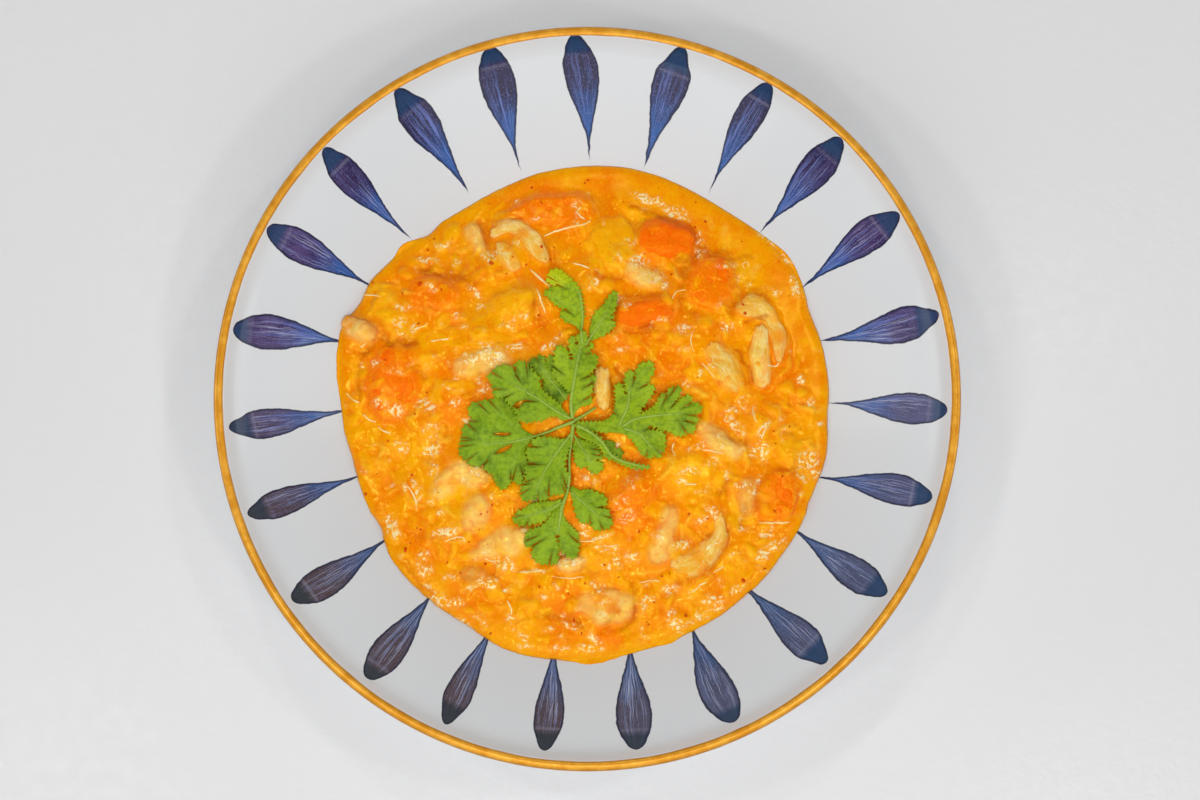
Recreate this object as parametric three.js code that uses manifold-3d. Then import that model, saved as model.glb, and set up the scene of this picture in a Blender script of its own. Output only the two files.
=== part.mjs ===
// A serving of chicken curry in its round, gold-rimmed deep plate, with a coriander sprig on top.
// Millimetres, +Z up. The origin is the centre of the foot ring, on the surface the plate stands on.
// Seen from above, +X is right and +Y is away from the diner.
import * as THREE from "three";
import { mergeVertices } from "three/addons/utils/BufferGeometryUtils.js";
import Module from "manifold-3d";

const wasm = await Module();
wasm.setup();

// Driving dimensions of the plate.
const RIM_RADIUS = 105;
const RIM_HEIGHT = 48;
const FLOOR_HEIGHT = 9;
const BEND_RADIUS = 52; // where the floor turns into the wall
const BEND_SOFTNESS = 10;
const WALL_SLOPE = 0.72; // rise over run of the conical wall
const WALL_THICKNESS = 4;
const WALL_END = 99; // where the wall turns up into the lip
const LIP_RADIUS = 1.7;
const FOOT_RADIUS = 43;
const FOOT_WIDTH = 4;
const FOOT_HEIGHT = 5;
const FOOT_ROUNDING = 0.8;
const PLATE_SIDES = 60;

// Driving dimensions of the food.
const GAP = 0.3; // clearance between neighbouring solids
const SAUCE_RADIUS = 71.6;
const SAUCE_OFFSET = 2.9; // the sauce's outline sits this far towards the diner
const SAUCE_LEVEL = 25.6; // its height away from its edge, before the mound
const SETTLING = 36; // distance from the edge over which it settles to that height
const SAUCE_SIDES = 40;
const SERVING_OFFSET = 1.9; // the middle of the pieces and the sprig sits this far towards the diner
const LIP_RISE = 1.3; // how steeply and how far the sauce's edge rounds up from the wall
const LIP_REACH = 1.8;
const MOUND_HEIGHT = 4.6;
const PIECE_DEPTH = 3; // how far a piece reaches below its widest line
const LARGEST_RISE = 4.2; // half width above which a piece gets no taller
const LEAF_THICKNESS = 0.7;
const LEAF_CLEARANCE = 0.6; // from the food to a leaf's underside
const LEAF_WAVE = 0.35;
const STEM_RADIUS = 0.75;
const STEM_CLEARANCE = 0.45;
const STEM_SIDES = 5;

const COLOURS = {
  plate: 0xe9eaec,
  sauce: 0xf39a12,
  carrot: 0xf8701a,
  chicken: 0xe3bd7c,
  potato: 0xf6ae2a,
  onion: 0xe5b06c,
  coriander: 0x6fa336,
};

const rad = THREE.MathUtils.degToRad;
// A place given from the middle of the serving, in the plate's own coordinates.
const served = ([x, y, ...rest]) => [x, y - SERVING_OFFSET, ...rest];
const smooth = (low, high, x) => THREE.MathUtils.smoothstep(x, low, high);
const mix = THREE.MathUtils.lerp;

// ---------------------------------------------------------------- solids

// A closed geometry as a manifold-3d solid.
function solidOf(geometry) {
  const bare = new THREE.BufferGeometry();
  bare.setAttribute("position", geometry.getAttribute("position"));
  if (geometry.index) bare.setIndex(geometry.index);
  const merged = mergeVertices(bare, 1e-4);
  return new wasm.Manifold(
    new wasm.Mesh({
      numProp: 3,
      vertProperties: new Float32Array(merged.attributes.position.array),
      triVerts: new Uint32Array(merged.index.array),
    }),
  );
}

// The largest body of a manifold-3d solid, as a geometry.
function geometryOf(solid) {
  const bodies = solid.decompose();
  bodies.sort((a, b) => b.volume() - a.volume());
  const mesh = bodies[0].getMesh();
  const geometry = new THREE.BufferGeometry();
  geometry.setAttribute("position", new THREE.BufferAttribute(new Float32Array(mesh.vertProperties), 3));
  geometry.setIndex(new THREE.BufferAttribute(new Uint32Array(mesh.triVerts), 1));
  geometry.computeVertexNormals();
  return geometry;
}

// A closed solid from stacked rings of points, each end closed by a fan to a point of its own.
function ringedSolid(rings, first, last) {
  const sides = rings[0].length;
  const points = [first, ...rings.flat(), last];
  const at = (ring, side) => 1 + ring * sides + (side % sides);
  const triangles = [];
  for (let side = 0; side < sides; side++) {
    triangles.push(0, at(0, side + 1), at(0, side));
    for (let ring = 0; ring < rings.length - 1; ring++) {
      triangles.push(at(ring, side), at(ring, side + 1), at(ring + 1, side + 1));
      triangles.push(at(ring, side), at(ring + 1, side + 1), at(ring + 1, side));
    }
    triangles.push(points.length - 1, at(rings.length - 1, side), at(rings.length - 1, side + 1));
  }
  return closedSolid(points, triangles);
}

// A solid from points and triangles that close it, turned inside out if that is needed.
function closedSolid(points, triangles) {
  const geometry = new THREE.BufferGeometry();
  geometry.setAttribute("position", new THREE.Float32BufferAttribute(points.flat(), 3));
  geometry.setIndex(triangles);
  const solid = solidOf(geometry);
  if (solid.volume() > 0) return solid;
  geometry.setIndex(triangles.toReversed());
  return solidOf(geometry);
}

function namedMesh(name, solid, colour, roughness) {
  const material = new THREE.MeshStandardMaterial({ color: colour, roughness, metalness: 0 });
  const mesh = new THREE.Mesh(geometryOf(solid), material);
  mesh.name = name;
  return mesh;
}

// ---------------------------------------------------------------- plate

// Radii of the wall's rings. The food's underside uses the same ones, so that its facets run alongside.
const WALL_RADII = [0, 42, 49, 55, 62, 70, 84, WALL_END];

// A flat floor that bends smoothly into a cone.
function wallCurve(radius) {
  const run = radius - BEND_RADIUS;
  return FLOOR_HEIGHT + (WALL_SLOPE * (run + Math.hypot(run, BEND_SOFTNESS))) / 2;
}

// Height of the plate's upper surface at a radius, straight between its rings.
function wallHeight(radius) {
  const next = Math.max(1, WALL_RADII.findIndex((r) => r >= radius));
  const [low, high] = [WALL_RADII[next - 1], WALL_RADII[next]];
  return mix(wallCurve(low), wallCurve(high), (radius - low) / (high - low));
}

// How much higher than the plate a surface is that stays GAP away from it.
const CLEAR = GAP * Math.hypot(1, WALL_SLOPE);

function plateProfile() {
  const drop = WALL_THICKNESS * Math.hypot(1, WALL_SLOPE);
  const upper = WALL_RADII.map((r) => [r, wallHeight(r)]);
  const lip = [150, 90, 45, 0, -45].map((angle) => [
    RIM_RADIUS + LIP_RADIUS * (Math.cos(rad(angle)) - 1),
    RIM_HEIGHT + LIP_RADIUS * (Math.sin(rad(angle)) - 1),
  ]);
  const under = [WALL_END - 1, 84, 68, 54].map((r) => [r, wallHeight(r) - drop]);
  const inner = FOOT_RADIUS - FOOT_WIDTH;
  const foot = [
    [FOOT_RADIUS + 1.5, FOOT_HEIGHT],
    [FOOT_RADIUS, FOOT_ROUNDING],
    [FOOT_RADIUS - FOOT_ROUNDING, 0],
    [inner + FOOT_ROUNDING, 0],
    [inner, FOOT_ROUNDING],
    [inner - 1, FOOT_HEIGHT - 0.6],
    [0, FOOT_HEIGHT - 0.3],
  ];
  return [...upper, ...lip, ...under, ...foot].reverse();
}

function turned(profile) {
  const lathe = new THREE.LatheGeometry(profile.map((point) => new THREE.Vector2(...point)), PLATE_SIDES);
  lathe.rotateX(Math.PI / 2); // a lathe turns about Y
  return solidOf(lathe);
}

// The space inside the plate, GAP clear of it. Every piece of food is trimmed to it.
function interior() {
  const above = 1.5 * RIM_HEIGHT;
  return turned([...WALL_RADII.map((r) => [r, wallHeight(r) + CLEAR]), [WALL_END, above], [0, above]]);
}

// ---------------------------------------------------------------- sauce

// How far out the sauce reaches, at an angle seen from above: nearly round, with a few swells.
function sauceEdge(angle) {
  const swell = (at, width, size) => {
    const off = THREE.MathUtils.euclideanModulo(angle - rad(at) + Math.PI, 2 * Math.PI) - Math.PI;
    return size * Math.exp(-((off / rad(width)) ** 2));
  };
  const swells =
    swell(35, 14, 2.1) + swell(82, 20, 1.6) + swell(161, 16, 4.6) + swell(226, 10, 0.9) + swell(256, 20, 2.4);
  const dents = swell(123, 14, 1) + swell(206, 10, 1.2) + swell(332, 16, 0.5);
  return SAUCE_RADIUS - SAUCE_OFFSET * Math.sin(angle) + swells - dents;
}

// Gentle lumps of the thick sauce between the pieces.
function lumps(x, y) {
  return (
    0.55 * Math.sin(0.31 * x + 1.3) * Math.sin(0.27 * y + 0.4) +
    0.4 * Math.sin(0.19 * x - 0.36 * y + 2) +
    0.3 * Math.sin(0.47 * x + 0.2 * y) * Math.sin(0.41 * y - 0.9)
  );
}

// Height of the sauce: it meets the wall at its edge, rounds over, settles, and rises to a low mound.
function sauceHeight(x, y) {
  const edge = sauceEdge(Math.atan2(y, x));
  const inward = Math.max(0, edge - Math.hypot(x, y));
  const rounded = LIP_RISE * (1 - Math.exp(-inward / LIP_REACH)) - 1.4 * smooth(0, 30, inward);
  const mound = MOUND_HEIGHT * smooth(4, 44, inward) + lumps(x, y) * smooth(3, 16, inward);
  return mix(wallCurve(edge), SAUCE_LEVEL, smooth(0, SETTLING, inward)) + rounded + mound;
}

function sauceBody() {
  const ring = (radiusAt, heightAt) =>
    Array.from({ length: SAUCE_SIDES }, (_, i) => {
      const angle = (2 * Math.PI * i) / SAUCE_SIDES;
      const radius = radiusAt(sauceEdge(angle));
      const x = radius * Math.cos(angle);
      const y = radius * Math.sin(angle);
      return [x, y, heightAt(x, y, radius)];
    });
  const onWall = (x, y, radius) => wallHeight(radius) + CLEAR;
  const under = WALL_RADII.filter((r) => r > 0 && r < 65).map((r) => ring(() => r, onWall));
  const edge = ring((reach) => reach, onWall);
  const shares = [0.985, 0.95, 0.88, 0.79, 0.69, 0.59, 0.48, 0.36, 0.23, 0.1];
  const top = shares.map((share) => ring((reach) => share * reach, sauceHeight));
  return ringedSolid([...under, edge, ...top], [0, 0, onWall(0, 0, 0)], [0, 0, sauceHeight(0, 0)]);
}

// ---------------------------------------------------------------- pieces in the sauce

// A piece lies along a line, given from the middle of the serving. Each point of it is [x, y, half the
// width there]. Proud is how far its back stands out of the sauce, and blunt how square its ends are.
const CARROTS = [
  { proud: 2.0, blunt: 5, line: [[-26, 54.4, 3.4], [-14, 58.2, 6], [2.6, 58, 5.6]] },
  { proud: 3.0, blunt: 5, line: [[14.6, 48.4, 4.6], [22.6, 49.2, 7], [31.8, 47, 5.4]] },
  { proud: 2.8, blunt: 5, line: [[33.4, 28, 6], [36.2, 36, 8.4], [38.4, 44.2, 5]] },
  { proud: 2.4, blunt: 5, line: [[8, 25.6, 4.4], [16.4, 26.4, 4.8], [25, 28.4, 3.4]] },
  { proud: 2.4, blunt: 4, line: [[-57.4, -6, 6.4], [-56.8, 6.4, 9.2], [-56, 18, 6.4]] },
  { proud: 1.6, blunt: 4, line: [[-53.4, 33.4, 5], [-46.4, 33.4, 6.2], [-38, 31, 3.6]] },
  { proud: 1.8, blunt: 5, line: [[55.2, -33.6, 5], [56.4, -26.2, 6.8], [57, -19, 5.2]] },
  { proud: 0.9, blunt: 3, line: [[2.6, -67.4, 2], [6.7, -67.7, 2.7], [11, -67, 2]] },
  { proud: 1.6, blunt: 3, line: [[6, -32, 4.6], [13.6, -26.4, 5.8], [20, -22.4, 4]] },
];

const CHICKEN = [
  {
    proud: 3.2,
    blunt: 3,
    line: [[-28.2, 49.4, 2], [-25.8, 53, 2.3], [-20.6, 53.2, 2.3], [-16.4, 48.6, 2.5], [-12.2, 42, 2.1]],
  },
  { proud: 2.6, blunt: 3, line: [[-26.2, 48.4, 1.8], [-23.8, 44.2, 2.5], [-20.2, 39.6, 1.7]] },
  { proud: 1.9, blunt: 3, line: [[-35, 53.8, 1.9], [-33.4, 50.2, 2.4], [-31.4, 46.2, 1.9]] },
  {
    proud: 3.2,
    blunt: 3,
    line: [[44.4, 26.6, 3.6], [47.4, 29.2, 3.8], [53, 27, 2.6], [55.8, 20, 2.4], [55.8, 11.6, 2]],
  },
  { proud: 3.4, blunt: 3, line: [[51.2, 23.4, 2.1], [50, 14.6, 2.9], [51.4, 5, 3.7]] },
  { proud: 2.3, blunt: 4, line: [[35.4, 17.8, 2.9], [39.8, 10.8, 4.4], [44, 3.8, 3.6]] },
  { proud: 2.4, blunt: 3, line: [[4, 10.6, 2], [4.2, 4.4, 2.4], [4.8, -1.8, 2.2]] },
  {
    proud: 2.0,
    blunt: 3,
    line: [[-44, -28.6, 2.8], [-41.4, -22.6, 3.4], [-34, -20, 3.2], [-28.4, -22, 2.2]],
  },
  { proud: 2.0, blunt: 3, line: [[-30.4, -26.4, 3], [-31.8, -31, 3.8], [-35, -37.4, 2.8]] },
  { proud: 1.9, blunt: 3, line: [[-34.6, -43, 2], [-24.4, -40.4, 3.8], [-17.4, -38.6, 3]] },
  {
    proud: 2.6,
    blunt: 3,
    line: [[24.2, -45.4, 2.8], [28.8, -46.8, 4], [34.4, -44.6, 3.9], [38.4, -39, 2.6], [38.4, -31.8, 1.9]],
  },
  { proud: 1.7, blunt: 3, line: [[11.8, 41.2, 2.4], [15.8, 37.6, 2.8], [21, 36.6, 2.4]] },
  { proud: 2.0, blunt: 3, line: [[24.4, -30.4, 1.9], [22.4, -37.4, 2.5], [19.6, -45.6, 2.2]] },
  { proud: 2.0, blunt: 3, line: [[-3, -56.8, 3.6], [4.4, -58.6, 4.8], [12.6, -59.4, 3.8]] },
  { proud: 1.9, blunt: 3, line: [[-71.4, 26, 2.4], [-67, 22.4, 3.1], [-62.4, 19.4, 2.4]] },
  { proud: 2.1, blunt: 3, line: [[-9, -46.2, 1.9], [-5, -46, 2.4], [-1, -45.4, 1.8]] },
  { proud: 1.8, blunt: 3, line: [[-38, 10, 2.8], [-31, 12.2, 3.4], [-22.6, 14.6, 2.6]] },
  { proud: 1.9, blunt: 3, line: [[31.8, -6.4, 2.2], [38, -11.2, 2.8], [45, -14.4, 2.2]] },
];

const POTATOES = [
  { proud: 2.2, blunt: 5, line: [[0.6, 46.6, 6.4], [7.2, 48.2, 7.8], [14, 49.6, 5.6]] },
  { proud: 1.8, blunt: 5, line: [[-28, 28.4, 3.6], [-21.6, 29.8, 4.6], [-15.6, 31, 3.8]] },
  { proud: 1.5, blunt: 4, line: [[-62.4, 27, 3.4], [-60.2, 30.4, 4], [-58, 33.4, 3]] },
  { proud: 1.5, blunt: 3, line: [[58.2, -8, 3.2], [58, -12, 4], [59, -16, 3]] },
  { proud: 1.8, blunt: 3, line: [[24.6, -18, 3.6], [30, -18.6, 4.8], [37, -20.2, 3.4]] },
];

const ONIONS = [
  { proud: 1.5, blunt: 3, line: [[47.4, -21.4, 2], [46.2, -27, 2.7], [46.4, -33, 2]] },
  { proud: 1.2, blunt: 3, line: [[-36.6, -49, 1.8], [-33, -49.6, 2.3], [-29.4, -49.4, 1.7]] },
];

// The outline of a piece across its line: a bevelled back over a narrower flat belly.
const SECTION = [[1, 0.25], [0.55, 1], [-0.55, 1], [-1, 0.25], [-0.8, -1], [0.8, -1]];
const END_RING = 0.04; // share of the line before a piece's first ring
const BACK_SHARE = 0.95; // height of the back over half the width
const THIN_BELLY = 0.6; // rise at which the belly is half as deep as it can get

// Place, direction and size of a piece at a share of its line.
function stationOf({ proud, blunt }, curve, t, extra) {
  const { x, y, z: halfWidth } = curve.getPoint(t);
  const along = curve.getTangent(t).setZ(0).normalize();
  const size = (1 - Math.abs(2 * t - 1) ** blunt) ** (1 / blunt);
  const tallest = BACK_SHARE * Math.min(halfWidth, LARGEST_RISE);
  const waist = sauceHeight(x, y) + proud - tallest;
  return { x, y, along, half: halfWidth * size + extra, rise: tallest * size + extra, waist };
}

// A piece as a solid, swollen by extra on every side.
function pieceSolid(form, extra = 0) {
  const { line } = form;
  const curve = new THREE.CatmullRomCurve3(line.map((point) => new THREE.Vector3(...served(point))));
  const bands = line.length > 3 ? 6 : 4;
  const rings = Array.from({ length: bands + 1 }, (_, k) => {
    const t = 0.5 - (0.5 - END_RING) * Math.cos((Math.PI * k) / bands);
    const { x, y, along, half, rise, waist } = stationOf(form, curve, t, extra);
    const belly = PIECE_DEPTH * (rise / (rise + THIN_BELLY)) + extra;
    return SECTION.map(([across, up]) => [
      x - across * half * along.y,
      y + across * half * along.x,
      waist + up * (up > 0 ? rise : belly),
    ]);
  });
  const tip = (t, way) => {
    const { x, y, along, waist } = stationOf(form, curve, t, extra);
    return [x + way * extra * along.x, y + way * extra * along.y, waist];
  };
  return ringedSolid(rings, tip(0, -1), tip(1, 1));
}

// ---------------------------------------------------------------- coriander

// Stems run between points seen from above, given from the middle of the serving.
const HUB = [-3.7, -5.5];
const STEMS = [
  [[2.6, -1.2], HUB, [-11, -8.6], [-17.4, -10.8]],
  [HUB, [-4.9, -1.4], [-4.4, 6], [-2.8, 14], [-1.2, 19.6], [-1.4, 26]],
  [HUB, [2, -6.4], [11.4, -7.6]],
  [HUB, [-4.9, -11], [-4.9, -19], [-5.2, -25.4], [-7.4, -33.4]],
  [[-2.2, 16.6], [0.6, 18.4], [2.4, 21.6]],
  [HUB, [0.6, -8.2], [8, -14.6], [16.4, -18.2]],
];

// A leaf spreads from its base. Its outline is given by [heading in degrees, reach] pairs, and lift is
// how far it floats above what lies under it, once away from its base.
const LEAVES = [
  {
    base: [-16.7, -10.4],
    lift: 0.2,
    outline: [
      [96, 5], [119, 13], [133, 12], [150, 19.2], [166, 17], [185, 20.6], [208, 16], [231, 18.3],
      [248, 12.4], [262, 11.8], [276, 5],
    ],
  },
  {
    base: [-5.3, -4.1],
    lift: 1.5,
    outline: [
      [112, 6], [124, 15.8], [131, 19.4], [143, 20], [155, 25.3], [163, 18], [170, 15.7],
      [185, 13.7], [196, 5],
    ],
  },
  {
    base: [-4.9, -4.6],
    lift: 0.2,
    outline: [
      [90, 8], [103, 19], [114, 17], [124, 19.6], [134, 12], [142, 5],
    ],
  },
  {
    base: [-4.7, -4.7],
    lift: 1.5,
    outline: [
      [30, 4], [45, 7.3], [57, 13.6], [62, 12.6], [68, 19.7], [75, 17.6], [83, 24.4], [92, 18.4],
      [101, 19.7], [106, 14.3], [118, 5],
    ],
  },
  {
    base: [-1.8, 19.3],
    lift: 0.3,
    outline: [
      [60, 3], [83, 7.5], [100, 17.4], [112, 20.6], [118, 18.4], [128, 15.9], [129, 8.7],
      [143, 5.5], [160, 2.4],
    ],
  },
  {
    base: [0.6, 17.8],
    lift: 0.3,
    outline: [
      [8, 2.6], [24, 5.6], [41, 9.5], [56, 15.1], [64, 14], [78, 4.7], [100, 2.4],
    ],
  },
  {
    base: [10.4, -7.5],
    lift: 0.6,
    outline: [
      [-70, 3], [-54, 5.6], [-47, 10.6], [-38, 12.7], [-18, 11.8], [-10, 15.6], [3, 20.6],
      [16, 22.6], [27, 18.2], [38, 18.7], [45, 8], [54, 13], [69, 19.5], [78, 14.8], [87, 16],
      [100, 13.3], [116, 5],
    ],
  },
  {
    base: [-2.4, -7.3],
    lift: 0.2,
    outline: [
      [-52, 4], [-40, 9.6], [-33, 15], [-27, 19], [-24, 12], [-14, 5],
    ],
  },
  {
    base: [-4.6, -8.9],
    lift: 1.2,
    outline: [
      [180, 4], [194, 9], [200, 12.9], [211, 14.9], [224, 18.2], [232, 21.6], [243, 22.3],
      [254, 16.4], [263, 12], [276, 6],
    ],
  },
  {
    base: [-4.4, -8.9],
    lift: 0.2,
    outline: [
      [264, 5], [278, 10], [295, 11.9], [308, 14.5], [320, 10.6], [333, 10.9], [346, 5],
    ],
  },
  {
    base: [-5.8, -27.6],
    lift: 0.2,
    outline: [
      [176, 4], [190, 10.4], [201, 15.4], [213, 11], [226, 5],
    ],
  },
  {
    base: [-5.2, -24.4],
    lift: 0.2,
    outline: [
      [282, 4], [290, 9.7], [303, 14.5], [314, 16.1], [329, 13.3], [342, 9.3], [0, 5.4],
    ],
  },
  {
    base: [-7.4, -32.6],
    lift: 0.2,
    outline: [
      [190, 4], [207, 11.2], [222, 11.4], [239, 14.1], [260, 13.3], [271, 11.2], [283, 12],
      [300, 9.6], [318, 8], [336, 4],
    ],
  },
];
const LEAF_RINGS = [0.55, 1]; // shares of the reach
const DRAPE_STEP = 2; // spacing of the height map that the sprig is laid on
const DRAPE_FROM = [-46, -56]; // its lowest x and y
const DRAPE_COUNT = [46, 52];

// Heights of the food under the sprig: the highest point within a leaf's reach, then evened out.
function drape(meshes) {
  const [columns, rows] = DRAPE_COUNT;
  const ray = new THREE.Raycaster();
  const down = new THREE.Vector3(0, 0, -1);
  const grid = Array.from({ length: columns * rows }, (_, k) => {
    const x = DRAPE_FROM[0] + DRAPE_STEP * (k % columns);
    const y = DRAPE_FROM[1] + DRAPE_STEP * Math.floor(k / columns);
    ray.set(new THREE.Vector3(x, y, RIM_HEIGHT), down);
    const hits = ray.intersectObjects(meshes, false);
    return hits.length ? hits[0].point.z : FLOOR_HEIGHT;
  });
  const filtered = (source, reach, pick) =>
    source.map((_, k) => {
      const near = [];
      for (let j = -reach; j <= reach; j++) {
        for (let i = -reach; i <= reach; i++) {
          const column = THREE.MathUtils.clamp((k % columns) + i, 0, columns - 1);
          const row = THREE.MathUtils.clamp(Math.floor(k / columns) + j, 0, rows - 1);
          near.push(source[row * columns + column]);
        }
      }
      return pick(near);
    });
  const highest = filtered(grid, 1, (near) => Math.max(...near));
  const even = filtered(highest, 1, (near) => near.reduce((sum, z) => sum + z, 0) / near.length);
  return (x, y) => {
    const u = THREE.MathUtils.clamp((x - DRAPE_FROM[0]) / DRAPE_STEP, 0, columns - 1.001);
    const v = THREE.MathUtils.clamp((y - DRAPE_FROM[1]) / DRAPE_STEP, 0, rows - 1.001);
    const k = Math.floor(v) * columns + Math.floor(u);
    return mix(
      mix(even[k], even[k + 1], u % 1),
      mix(even[k + columns], even[k + columns + 1], u % 1),
      v % 1,
    );
  };
}

// A thin leaf laid over the ground, both faces split into triangles alike.
function leafSolid({ base: ownBase, lift, outline }, ground) {
  const base = served(ownBase);
  const lower = [[...base, ground(...base) + LEAF_CLEARANCE]];
  for (const [heading, reach] of outline) {
    for (const share of LEAF_RINGS) {
      const x = base[0] + share * reach * Math.cos(rad(heading));
      const y = base[1] + share * reach * Math.sin(rad(heading));
      const wave = LEAF_WAVE * share * Math.sin(0.09 * heading + 0.5 * share * reach);
      lower.push([x, y, ground(x, y) + LEAF_CLEARANCE + lift * smooth(0, 7, share * reach) + wave]);
    }
  }
  const points = [...lower, ...lower.map(([x, y, z]) => [x, y, z + LEAF_THICKNESS])];
  const rings = LEAF_RINGS.length;
  const at = (ray, ring) => (ring === 0 ? 0 : ray * rings + ring);
  const triangles = [];
  const face = (a, b, c) => triangles.push(a, c, b, a + lower.length, b + lower.length, c + lower.length);
  for (let ray = 0; ray < outline.length - 1; ray++) {
    face(0, at(ray, 1), at(ray + 1, 1));
    for (let ring = 1; ring < rings; ring++) {
      face(at(ray, ring), at(ray, ring + 1), at(ray + 1, ring + 1));
      face(at(ray, ring), at(ray + 1, ring + 1), at(ray + 1, ring));
    }
  }
  const last = outline.length - 1;
  const side = (ray) => Array.from({ length: rings }, (_, k) => at(ray, k + 1));
  const ends = Array.from({ length: last - 1 }, (_, k) => at(k + 1, rings));
  const border = [0, ...side(0), ...ends, ...side(last).reverse()];
  border.forEach((a, k) => {
    const b = border[(k + 1) % border.length];
    triangles.push(a, b, b + lower.length, a, b + lower.length, a + lower.length);
  });
  return closedSolid(points, triangles);
}

function stemSolid(run, ground) {
  const path = new THREE.CatmullRomCurve3(
    run.map(served).map(([x, y]) => new THREE.Vector3(x, y, ground(x, y) + STEM_CLEARANCE + STEM_RADIUS)),
  );
  const corners = Array.from({ length: STEM_SIDES }, (_, k) => {
    const angle = (2 * Math.PI * k) / STEM_SIDES;
    return new THREE.Vector2(STEM_RADIUS * Math.cos(angle), STEM_RADIUS * Math.sin(angle));
  });
  const section = new THREE.Shape(corners);
  const options = { steps: Math.round(1.6 * run.length), bevelEnabled: false, extrudePath: path };
  return solidOf(new THREE.ExtrudeGeometry(section, options));
}

function sprig(ground) {
  const stems = STEMS.map((run) => stemSolid(run, ground));
  const leaves = LEAVES.map((form) => leafSolid(form, ground));
  return [...stems, ...leaves].reduce((whole, next) => whole.add(next));
}

// ---------------------------------------------------------------- the whole

const group = new THREE.Group();
group.add(namedMesh("plate", turned(plateProfile()), COLOURS.plate, 0.2));

const kinds = [
  ["chicken", CHICKEN, 0.55],
  ["carrot", CARROTS, 0.4],
  ["potato", POTATOES, 0.45],
  ["onion", ONIONS, 0.3],
];
let sauce = sauceBody();
let room = interior(); // what is left for the next piece
for (const [kind, forms, roughness] of kinds) {
  forms.forEach((form, k) => {
    group.add(namedMesh(`${kind}_${k + 1}`, pieceSolid(form).intersect(room), COLOURS[kind], roughness));
    const swollen = pieceSolid(form, GAP);
    room = room.subtract(swollen);
    sauce = sauce.subtract(swollen);
  });
}
group.add(namedMesh("curry_sauce", sauce, COLOURS.sauce, 0.3));

group.updateMatrixWorld(true);
const ground = drape(group.children.filter((mesh) => mesh.name !== "plate"));
group.add(namedMesh("coriander_sprig", sprig(ground), COLOURS.coriander, 0.5));

export default group;
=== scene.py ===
import itertools
import math

import bmesh
import bpy
import numpy as np
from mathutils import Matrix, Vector
from mathutils.bvhtree import BVHTree
from mathutils.geometry import delaunay_2d_cdt


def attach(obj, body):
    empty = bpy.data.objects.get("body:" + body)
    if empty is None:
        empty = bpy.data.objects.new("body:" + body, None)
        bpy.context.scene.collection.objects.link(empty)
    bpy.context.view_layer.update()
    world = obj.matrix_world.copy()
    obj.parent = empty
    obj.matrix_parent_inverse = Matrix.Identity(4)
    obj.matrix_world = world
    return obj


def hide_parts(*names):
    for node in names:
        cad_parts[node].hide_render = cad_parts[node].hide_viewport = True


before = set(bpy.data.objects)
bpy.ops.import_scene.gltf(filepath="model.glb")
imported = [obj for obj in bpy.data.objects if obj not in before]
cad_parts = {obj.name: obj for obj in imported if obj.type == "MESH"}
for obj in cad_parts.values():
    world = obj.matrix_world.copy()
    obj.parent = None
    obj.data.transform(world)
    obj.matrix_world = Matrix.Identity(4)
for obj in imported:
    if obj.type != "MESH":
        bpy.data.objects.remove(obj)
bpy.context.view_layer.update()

MM = 0.001
RIM_RADIUS = 105.0  # mm, as in the CAD plate
RIM_HEIGHT = 48.0
FLOOR_HEIGHT = 9.0
BEND_RADIUS = 52.0
BEND_SOFTNESS = 10.0
WALL_SLOPE = 0.72
WALL_THICKNESS = 4.0
WALL_END = 99.0
LIP_RADIUS = 1.7
FOOT_RADIUS = 43.0
FOOT_WIDTH = 4.0
FOOT_HEIGHT = 5.0
FOOT_ROUNDING = 0.8
INNERMOST = 0.5  # radius of the plate's smallest rings, which fans close


# ------------------------------------------------------------------ small tools


def smoothstep(low, high, x):
    t = np.clip((x - low) / (high - low), 0.0, 1.0)
    return t * t * (3.0 - 2.0 * t)


def mesh_object(name, points_mm, faces):
    """A smooth-shaded mesh object from points in millimetres."""
    mesh = bpy.data.meshes.new(name)
    mesh.from_pydata((np.asarray(points_mm) * MM).tolist(), [], faces)
    mesh.polygons.foreach_set("use_smooth", [True] * len(mesh.polygons))
    mesh.update()
    piece = bpy.data.objects.new(name, mesh)
    bpy.context.scene.collection.objects.link(piece)
    return piece


def closed_rings(rings, sides):
    """Faces of a body of rings whose first and last are closed with fans to two more points."""
    faces = []
    for near in range(0, (rings - 1) * sides, sides):
        far = near + sides
        for side in range(sides):
            after = (side + 1) % sides
            faces.append((far + side, far + after, near + after, near + side))
    top, bottom = rings * sides, rings * sides + 1
    last = (rings - 1) * sides
    for side in range(sides):
        after = (side + 1) % sides
        faces.append((side, after, top))
        faces.append((last + after, last + side, bottom))
    return faces


def flat_places(x, y):
    """Places of a grid, or of a list, as rows of x and y."""
    return np.stack([x.ravel(), y.ravel()], axis=1)


def draw_curve(node, points):
    """Puts points on the curve of a float curve node."""
    curve = node.mapping.curves[0]
    curve.points[0].location = points[0]
    curve.points[1].location = points[-1]
    for point in points[1:-1]:
        curve.points.new(*point)
    node.mapping.update()


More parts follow.
